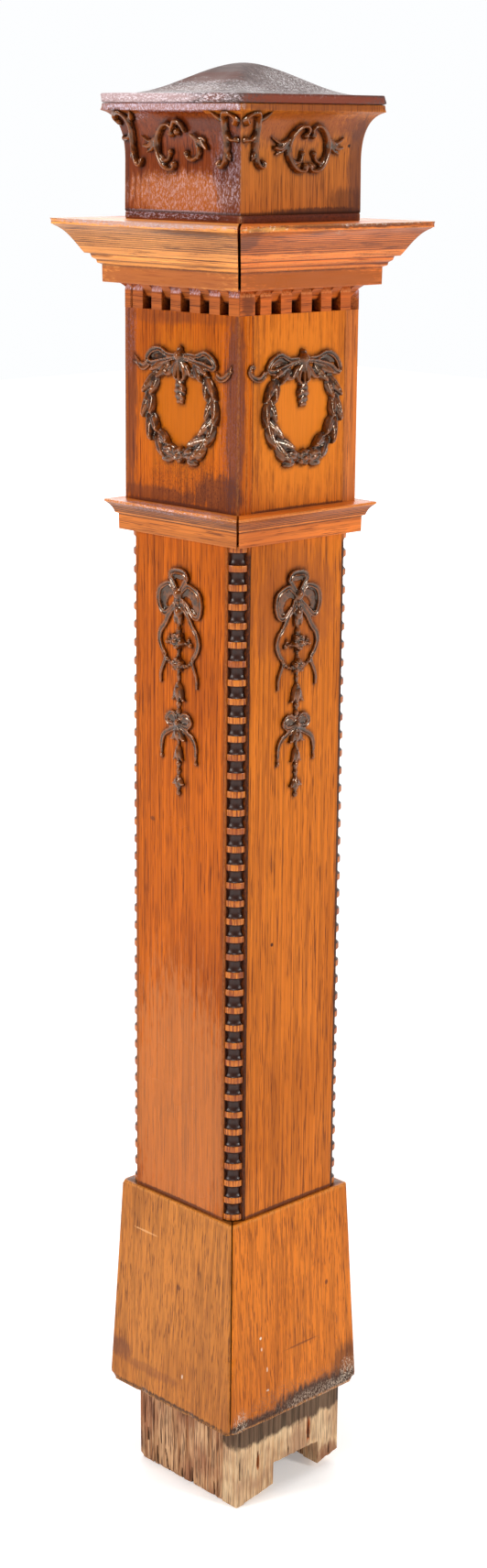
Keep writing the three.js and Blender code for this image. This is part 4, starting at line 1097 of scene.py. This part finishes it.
def mirrored(pieces):
    """The same strokes on the other side of the middle line, their rings in reverse to face outwards."""
    return [piece[::-1] * (-1.0, 1.0, 1.0) for piece in pieces]


def flipped(sign, points):
    """A path right of the middle line, or left of it for a sign of -1."""
    return [(sign * x, z) for x, z in points]


def moved(pieces, across_by, up_by):
    return [piece + (across_by, 0.0, up_by) for piece in pieces]


def cast(name, strokes, face, finish, node, voxel=0.8):
    """One casting: strokes fused by a voxel remesh, softened and laid on a face, grimy in its hollows."""
    soft = bpy.data.meshes.new(name)
    vertices, faces, first = [], [], 0
    for rings in strokes:
        vertices.append(rings.reshape(-1, 3))
        faces += ring_faces(rings.shape[0], rings.shape[1], first)
        first += rings.shape[0] * rings.shape[1]
    soft.from_pydata((np.concatenate(vertices) * MM).tolist(), [], faces)
    turn_outwards(soft)
    holder = added(name, soft)
    fuse = holder.modifiers.new("fuse", "REMESH")
    fuse.mode = "VOXEL"
    fuse.voxel_size = voxel * MM
    calm = holder.modifiers.new("calm", "SMOOTH")
    calm.factor = 0.5
    calm.iterations = 1
    fused = bpy.data.meshes.new_from_object(holder.evaluated_get(bpy.context.evaluated_depsgraph_get()))
    bpy.data.objects.remove(holder)
    bpy.data.meshes.remove(soft)
    fused.name = name
    places = np.empty(len(fused.vertices) * 3, dtype=np.float32)
    fused.vertices.foreach_get("co", places)
    places = places.reshape(-1, 3).astype(float) / MM
    height = crest(fused, places)
    fused.vertices.foreach_set("co", (face(places) * MM).astype(np.float32).ravel())
    fused.materials.clear()
    store(fused, "grime_and_shade", np.clip(-height * 2.0 + 0.15, 0, 1))
    store(fused, "wear_and_sheen", np.clip(height * 1.6, 0, 1))
    fused.update()
    finish_piece(name, fused, finish, [node], 180.0)


def crest(mesh, places):
    """How far each point stands in front of those about it: its height averaged once, less that averaged
    over nine rounds of neighbours."""
    pairs = np.empty(len(mesh.edges) * 2, dtype=np.int32)
    mesh.edges.foreach_get("vertices", pairs)
    pairs = pairs.reshape(-1, 2)
    out = places[:, 1]
    count = np.bincount(pairs.ravel(), minlength=len(out))

    def averaged(values, rounds):
        for _ in range(rounds):
            total = np.bincount(pairs[:, 0], values[pairs[:, 1]], len(values))
            total += np.bincount(pairs[:, 1], values[pairs[:, 0]], len(values))
            values = total / np.maximum(count, 1)
        return values

    return averaged(out, 1) - averaged(out, 9)


def on_face(quarter):
    """Lays points (across, out, up) on the post's front, or on the side that many quarter turns further."""
    def laid(points):
        return turned(np.stack([points[:, 0], -(POST_HALF + points[:, 1]), points[:, 2]], axis=-1), quarter)
    return laid


front_face, right_face, left_face = on_face(0), on_face(1), on_face(3)


def composition(name, shine, brown):
    """Glossy cast composition under dark varnish, nearly black in its hollows and golden brown above."""
    material, tree, shader = fresh_material(name, 0.5, 0.75, 0.06)
    shader.inputs["Specular Tint"].default_value = (1.0, 0.64, 0.32, 1.0)
    place = object_place(tree)
    patch = noise(tree, scaled(tree, place, (170.0, 170.0, 170.0)), detail=3.0, rough=0.5)
    fine = noise(tree, scaled(tree, place, (900.0, 900.0, 900.0)), detail=3.0)
    colour = mixed(tree, fade(tree, patch, 0.38, 0.66), tinted(42, 15, 3), brown)
    colour = mixed(tree, product(tree, stored(tree, "wear_and_sheen"), shine), colour, tinted(176, 92, 22))
    colour = mixed(tree, stored(tree, "grime_and_shade"), colour, tinted(24, 12, 10))
    height = calc(tree, "ADD", patch, product(tree, fine, 0.12))
    dress(tree, shader, colour, fade(tree, fine, 0.3, 0.7, 0.14, 0.26), height, 0.12, 0.0008)
    return material


front_composition = composition("dark varnished composition, front", 0.5, tinted(116, 56, 10))
right_composition = composition("dark varnished composition, right", 0.4, tinted(106, 50, 10))


def laurel_side(side):
    """Five sprays of two leaves down one half of the ring, each one's roots under the tips before it."""
    pieces = []
    for spray in range(5):
        start = math.radians(20 + spray * 27.0)
        stop = start + math.radians(33)
        root = np.array([math.sin(start) * 43.2, math.cos(start) * 42.4])
        tip = np.array([math.sin(stop) * 43.2, math.cos(stop) * 42.4])
        outward = tip / np.linalg.norm(tip)
        size = 1.0 + 0.07 * spray
        for way, reach in ((1, 6.4), (-1, 4.2)):
            middle = (root + tip) / 2 + outward * way * reach * 0.7 * size
            pieces.append(stroke(
                [root, middle, tip + outward * way * reach * size],
                lambda t: 4.6 * size * np.sin(np.pi * t ** 0.75) ** 0.7 + 0.05,
                lambda t: 7.4 * size * (0.18 + 0.82 * t ** 0.9) * (1 - 0.4 * np.clip(t * 7 - 6, 0, 1)),
                leaf_form, 0.0, 26))
    return mirrored(pieces) if side < 0 else pieces


def web_form(s, t):
    return np.clip(1 - np.abs(s) ** 7, 0, 1) ** 0.5


def web(points, half, rise=1.0):
    """The low inner side of a ribbon loop."""
    return stroke(points, swelled(half, 0.5), even(rise), web_form, 0.0, 24)


def bow_loop(points):
    return stroke(points, swelled(2.58, 0.6), even(5.52), ribbon_form, 0.2, 44)


def forked_tail(points, tips, half=3.6):
    """A ribbon's end, split into two points."""
    pieces = [stroke(points, even(half), even(3.0), ribbon_form, 0.1, 24)]
    for tip in tips:
        point = stroke([points[-1], tip], tapered(half * 0.7, 0.1), tapered(2.8, 0.5), ribbon_form, 0.1, 10)
        pieces.append(point)
    return pieces


def wreath(left_loop, left_tail, right_loop, right_tail):
    pieces = laurel_side(-1) + laurel_side(1)
    pieces += [bow_loop(left_loop), bow_loop(right_loop)] + left_tail + right_tail
    pieces.append(web([(-5, 44.5), (-20, 43), (-30, 43.5), (-40, 41)], 4.0))
    pieces.append(web([(5, 44.5), (20, 43.5), (32, 44), (42, 41)], 4.0))
    pieces += [bead((0, 45.4), 6.0, 5.6, 7.5, lift=1.0), bead((0, 51.5), 3.6, 2.8, 4.6, lift=0.4)]
    # The bell flower that hangs from the knot: four curled petals, a stem and a scaly bud
    for sign in (-1, 1):
        pieces.append(stroke(flipped(sign, [(1.5, 41), (8, 36), (14, 29), (18.5, 27.5)]),
                             swelled(3.4, 0.35), even(4.2), leaf_form, 0.2, 24))
        pieces.append(bead((sign * 18.5, 28.5), 3.0, 3.0, 4.2))
        pieces.append(stroke(flipped(sign, [(1.0, 41), (5.4, 34), (6.2, 26.5), (3.4, 23.5)]),
                             swelled(3.0, 0.35), even(4.6), leaf_form, 0.4, 24))
    pieces.append(stroke([(0, 42), (0, 33), (0, 24)], even(1.7), even(5.4), round_form, 0.2, 12))
    scales = (21, 5.6, 4.6, 5.2), (15.6, 7.4, 4.8, 5.0), (10.4, 5.8, 4.6, 4.8), (5.6, 3.8, 4.0, 3.8)
    for height, half, long, rise in scales:
        pieces.append(bead((0, height), half, long, rise))
        for sign in (-1, 1):
            root, tip = flipped(sign, [(0.6, height + 3), (half * 0.95, height - 4)])
            pieces.append(leaf(root, tip, 2.2, rise * 0.9, lift=0.5))
    # Flowers and broad leaves at the foot
    return pieces + flower((0.4, -44), 8.8, 7.0, 0.3) + [leaf(*sizes) for sizes in (
        ((-4, -45), (-24, -40), 6.6, 7.0, 0.1), ((4, -46), (25, -42), 7.2, 7.4, -0.1),
        ((-8, -46), (-25, -50), 5.4, 4.6, 0.0, 0.2), ((8, -46), (24, -51), 6.0, 5.0, 0.0, 0.2),
        ((14, -40), (34, -38), 6.6, 5.6, 0.12, 0.3), ((-14, -40), (-33, -40), 6.0, 5.0, -0.1, 0.3))]


front_wreath_strokes = wreath(
    [(-4, 45.5), (-17, 46), (-27, 50), (-38, 47.6), (-44, 40), (-38, 36.5), (-24, 39.5), (-5, 43.5)],
    forked_tail([(-44, 36), (-50, 32.5), (-55, 33.5)], [(-64, 43), (-65.5, 36.5)]),
    [(4, 46), (12, 47), (23, 46.5), (33, 49.6), (43, 45), (47, 38.5), (42, 36.5), (30, 39.5), (14, 42),
     (4, 43.5)],
    forked_tail([(46, 31.5), (52, 28), (58, 29.5), (63, 33.5)], [(66.4, 41), (67.5, 36)], 3.0))
right_wreath_strokes = wreath(
    [(-4, 45.5), (-18, 45.5), (-29, 49.6), (-40, 45), (-45, 37), (-37, 35), (-23, 39), (-5, 43.5)],
    [stroke([(-47, 34), (-54, 29.5), (-62, 31), (-67, 36), (-64.5, 41.5), (-60, 39)], tapered(3.4, 0.4),
            even(3.4), ribbon_form, 0.2, 30)],
    [(4, 46), (17, 45.5), (31, 49.4), (42, 44), (47, 34), (43, 31), (35, 37), (21, 41), (4, 43.5)], [])
cast("front_wreath", moved(front_wreath_strokes, 1.3, 1086.0), front_face, front_composition, "wreath_front")
cast("right_wreath", moved(right_wreath_strokes, 2.4, 1084.5), right_face, right_composition, "wreath_right")

# Drops: a ribbon bow over a stem of buds, flowers and bellflowers, cast in one and pinned to the shaft.
# Both come from the same mould, bent a little differently.
def bellflower(top, bottom, half, rise):
    """Three petals that flare from a neck: one down the middle, one to each side, with turned-out tips."""
    long = top - bottom
    pieces = [leaf((0, top), (0, bottom - long * 0.12), half * 0.42, rise, lift=0.8)]
    for sign in (-1, 1):
        path = flipped(sign, [(0, top), (half * 0.34, top - long * 0.5), (half * 0.62, bottom + long * 0.1),
                              (half, bottom)])
        pieces.append(stroke(path, lambda t: half * 0.34 * np.sin(np.pi * t ** 0.7) ** 0.8 + 0.1,
                             even(rise * 0.85), leaf_form, 0.3, 20))
    return pieces


def ribbon(points, half, rise, lift, stations):
    return stroke(points, half, even(rise), ribbon_form, lift, stations)


def drop(left_wing, right_wing):
    pieces = [web([(-8, 929), (0, 930.5), (8, 929)], 4.4, 1.2),
              ribbon([(-11.5, 928), (-8.5, 933), (0, 934.6), (8.5, 933), (11.5, 928)], swelled(3.2, 0.7),
                     5.2, 0.2, 30)]
    for sign, wing in ((-1, left_wing), (1, right_wing)):
        def side(*points):
            return flipped(sign, points)

        pieces += [
            ribbon(side((11.5, 929), (6, 922), (1.2, 915)), tapered(2.6, 0.6), 4.4, 0.3, 20),
            ribbon(side((2, 913), (9, 919.5), (14, 922)) + wing, swelled(2.6, 0.6), 5.0, 0.2, 60),
            ribbon(side((4, 909), (7, 900), (12, 894), (19, 883), (24.4, 876.5), (26.4, 868), (23, 859),
                        (18, 852), (21.5, 843), (24.4, 836), (24.6, 826)),
                   lambda t: 3.3 * (0.6 + 0.4 * np.sin(np.pi * t)) * (1 - 0.5 * t), 3.8, 0.2, 70),
            stroke(side((5, 868), (11, 867.4), (15.4, 866)), even(1.2), even(2.8), round_form, 0.0, 12),
            web(side((3, 912), (10, 915), (18, 912), (21.5, 903), (17, 896)), 5.0),
            web(side((2, 792), (8, 794), (14, 792)), 2.6, 1.6),
            bead((sign * 15.6, 866.4), 2.6, 2.6, 4.0), bead((sign * 13.2, 871.0), 2.0, 2.0, 3.4)]
        berries = side((8, 845.4), (11.6, 846.8), (15.2, 849.2), (18.6, 852.4))
        pieces += [bead(place, 2.0, 2.0, 3.6) for place in berries]
        pieces += [
            ribbon(side((1, 791), (4, 797), (10, 799.5), (16.4, 793.5), (12, 788), (3, 789.5)),
                   swelled(2.3, 0.7), 4.0, 0.3, 36),
            ribbon(side((3, 789), (9, 784), (18.5, 778.5), (23, 771), (23.6, 757)),
                   lambda t: 3.1 * (0.55 + 0.45 * np.sin(np.pi * t)) * (1 - 0.45 * t), 3.4, 0.2, 36),
            bead((sign * 23.6, 755.6), 2.0, 2.6, 3.4)]
        pieces.append(leaf(*side((2.4, 899), (3.4, 884)), 2.6, 5.0, lift=0.4))
    stem = [(0, 914), (0, 860), (0, 800), (0, 722)]
    pieces.append(stroke(stem, even(1.5), even(2.9), round_form, 0.0, 60))
    pieces += flower((0, 869.4), 9.0, 8.0, 0.6) + flower((0, 847), 7.8, 7.4, 0.0)
    for sizes in ((829.7, 812.5, 9.4, 4.8), (786.5, 774.5, 10.4, 5.0), (769.5, 755, 7.2, 4.2),
                  (738, 731.5, 8.0, 4.4)):
        pieces += bellflower(*sizes)
    # Height, half width, half length, rise and lift of each bud and bead down the stem
    for height, half, long, rise, lift in (
            (913.5, 5.6, 6.0, 7.0, 0.6), (904.6, 2.6, 3.0, 4.4, 0.0), (896, 5.2, 6.6, 6.0, 0.4),
            (879.4, 2.6, 4.2, 4.6, 0.0), (861, 2.6, 2.6, 4.2, 0.0), (855.6, 2.0, 2.8, 3.8, 0.0),
            (836, 2.2, 4.0, 3.8, 0.0), (809.3, 3.2, 3.4, 4.2, 0.0), (801.8, 3.0, 3.4, 4.2, 0.0),
            (791, 4.2, 4.2, 6.0, 0.5), (751.6, 2.9, 3.2, 4.0, 0.0), (744.6, 2.6, 2.9, 3.8, 0.0),
            (738.6, 2.4, 2.6, 3.6, 0.0), (731, 3.6, 4.2, 4.8, 0.0), (723.4, 2.5, 3.6, 3.8, 0.0)):
        pieces.append(bead((0, height), half, long, rise, lift))
    return pieces


front_drop_strokes = drop([(-25.4, 915), (-26.6, 903), (-22, 894.5), (-16, 894), (-6, 903)],
                          [(26.4, 916), (29.4, 906), (27, 895), (20, 894.8), (12, 903), (4, 908)])
right_drop_strokes = drop([(-26.4, 915), (-27.8, 903), (-24, 894.5), (-17.5, 894), (-8, 903)],
                          [(25.6, 916.5), (28, 905), (24, 894.4), (18.6, 894), (10.4, 902), (4, 908)])
cast("front_drop", front_drop_strokes, front_face, front_composition, "drop_front")
cast("right_drop", right_drop_strokes, right_face, right_composition, "drop_right")

# Cap ornaments: pairs of C-scrolls with leafy tails under the cove, and a small scroll bracket each side
# of a corner, cast and pinned. The front scroll has lost its lower right curl, so a leaf of it sits by
# itself.
CAP_VOXEL = 0.68


def cast_on_cap(name, strokes, face, finish, node):
    """A casting bent with the cove: the post's face plane is swapped for the cap's at each height."""
    def laid(points):
        raised = points.copy()
        raised[:, 1] += cove_out(points[:, 2]) + CAP_HALF - POST_HALF
        return face(raised)
    cast(name, strokes, laid, finish, node, CAP_VOXEL)


def twig(points, half, end, rise):
    return stroke(points, tapered(half, end), tapered(rise, 0.6), round_form, 0.1, 16)


def scroll_left(middle):
    """The left C-scroll of a pair: a swelling stem between two volutes, and a leafy tail."""
    return moved([
        stroke([(-4.0, 1325.5), (-2.2, 1329.5), (-7, 1332.6), (-15, 1330.5), (-23, 1322), (-24.6, 1312),
                (-21, 1302), (-13, 1295), (-4, 1294.6), (-1.6, 1299)], swelled(3.4, 0.42), even(5.4),
               round_form, 0.0, 70),
        bead((-4.6, 1324.6), 3.4, 3.4, 5.6), bead((-3.2, 1298.4), 3.6, 3.6, 5.6),
        stroke([(-21, 1305), (-16, 1301.5), (-10, 1303), (-7.4, 1309)], tapered(2.6, 0.7), even(4.2),
               round_form, 0.0, 24),
        bead((-7.2, 1309.4), 2.9, 2.9, 5.0),
        stroke([(-22, 1323), (-29, 1318.6), (-35, 1314), (-43, 1314.6)], swelled(3.4, 0.4), even(4.6),
               leaf_form, 0.2, 24),
        twig([(-30, 1318), (-37, 1318.6), (-45.5, 1323)], 2.4, 0.25, 4.0),
        twig([(-27, 1316), (-33, 1311), (-40, 1308.6)], 2.6, 0.3, 4.0),
    ], middle, 0.0)


right_scroll_strokes = moved(scroll_left(0.0) + mirrored(scroll_left(0.0)), 4.5, 0.0)
cast_on_cap("right_cap_scroll", right_scroll_strokes, right_face, right_composition, "cap_scroll_right")
front_scroll_strokes = moved(scroll_left(-1.0) + [
    stroke([(-2, 1330.5), (2.6, 1335), (9.6, 1333), (13.4, 1326)], swelled(3.2, 0.5), even(5.2), round_form,
           0.0, 30),
    bead((3.0, 1326.4), 3.8, 3.8, 6.0)], -3.5, 0.6)
cast_on_cap("front_cap_scroll", front_scroll_strokes, front_face, front_composition, "cap_scroll_front")
fragment_strokes = moved([
    stroke([(17, 1325.5), (22, 1322), (29, 1318.6), (37, 1312.4)], swelled(3.2, 0.4), even(5.2), leaf_form,
           0.2, 24),
    stroke([(23, 1319.5), (25.6, 1312), (24.6, 1304)], swelled(2.9, 0.5), even(4.6), leaf_form, 0.2, 20),
    twig([(24, 1321), (29, 1322.4), (34.5, 1320)], 2.4, 0.4, 4.4),
    stroke([(24.6, 1307), (18.6, 1303.6), (12, 1304.4), (8.6, 1309.4)], swelled(2.4, 0.6), even(4.4),
           round_form, 0.0, 24),
    bead((9.0, 1309.0), 3.0, 3.0, 5.0)], -0.4, 0.0)
cast_on_cap("front_cap_scroll_fragment", fragment_strokes, front_face, front_composition,
            "cap_scroll_front_fragment")


def corner_bracket():
    """The bracket right of the middle: a hooked head, a stem, a branch and a rolled foot."""
    return [
        stroke([(74.6, 1333.5), (79, 1338.4), (73.5, 1342.4), (66, 1341), (61.6, 1333), (61.2, 1322),
                (60.8, 1311), (57.6, 1300.6), (52.6, 1297.4), (49.4, 1301.6)], swelled(3.0, 0.62), even(5.6),
               round_form, 0.0, 80),
        bead((51.0, 1301.6), 3.0, 3.0, 5.2), bead((74.8, 1334.6), 2.6, 2.8, 5.0),
        stroke([(61.4, 1328), (65.4, 1322), (71.6, 1320.4)], tapered(2.6, 0.7), even(4.6), round_form, 0.0,
               20),
        bead((73.0, 1321.0), 2.6, 3.2, 4.4),
        leaf((63.0, 1336), (52.4, 1345), 2.8, 4.8, bow=-0.12, lift=0.2),
        leaf((61.0, 1313), (64.6, 1302.6), 2.4, 4.4, lift=0.1),
    ]


for place, face, reverse, finish in (
        ("front_right", front_face, False, front_composition),
        ("front_left", front_face, True, front_composition),
        ("right_front", right_face, True, right_composition),
        ("left_front", left_face, False, front_composition)):
    strokes = mirrored(corner_bracket()) if reverse else corner_bracket()
    cast_on_cap(f"{place}_bracket", strokes, face, finish, f"bracket_{place}")

RIM_REACH, RIM_STRENGTH = 2.1, 0.85


def dark_rim_round(board, ornament):
    """A board darkened round an ornament, by grime_and_shade of strength exp(-(distance / reach)^2) from its
    points.
    """
    def places(piece):
        values = np.empty(len(piece.data.vertices) * 3, dtype=np.float32)
        piece.data.vertices.foreach_get("co", values)
        return values.reshape(-1, 3) / MM
    target, source = places(board), places(ornament)[::9]
    low, high = source.min(axis=0) - RIM_REACH * 3, source.max(axis=0) + RIM_REACH * 3
    near = np.flatnonzero(((target > low) & (target < high)).all(axis=1))
    far = np.full(len(target), 1e3, dtype=np.float32)
    for part in np.array_split(near, max(1, len(near) // 800)):
        far[part] = np.linalg.norm(target[part][:, None] - source[None], axis=-1).min(axis=1)
    grime_and_shade = np.empty(len(target), dtype=np.float32)
    board.data.attributes["grime_and_shade"].data.foreach_get("value", grime_and_shade)
    store(board.data, "grime_and_shade", np.maximum(grime_and_shade, RIM_STRENGTH * np.exp(-(far / RIM_REACH) ** 2)))


for board, ornaments in {
        "front_post_board": ["front_wreath", "front_drop"],
        "right_post_board": ["right_wreath", "right_drop"],
        "front_cap_board": ["front_cap_scroll", "front_cap_scroll_fragment"],
        "right_cap_board": ["right_cap_scroll", "right_front_bracket", "front_right_bracket"],
        "left_cap_board": ["front_left_bracket", "left_front_bracket"]}.items():
    for ornament in ornaments:
        dark_rim_round(bpy.data.objects[board], bpy.data.objects[ornament])
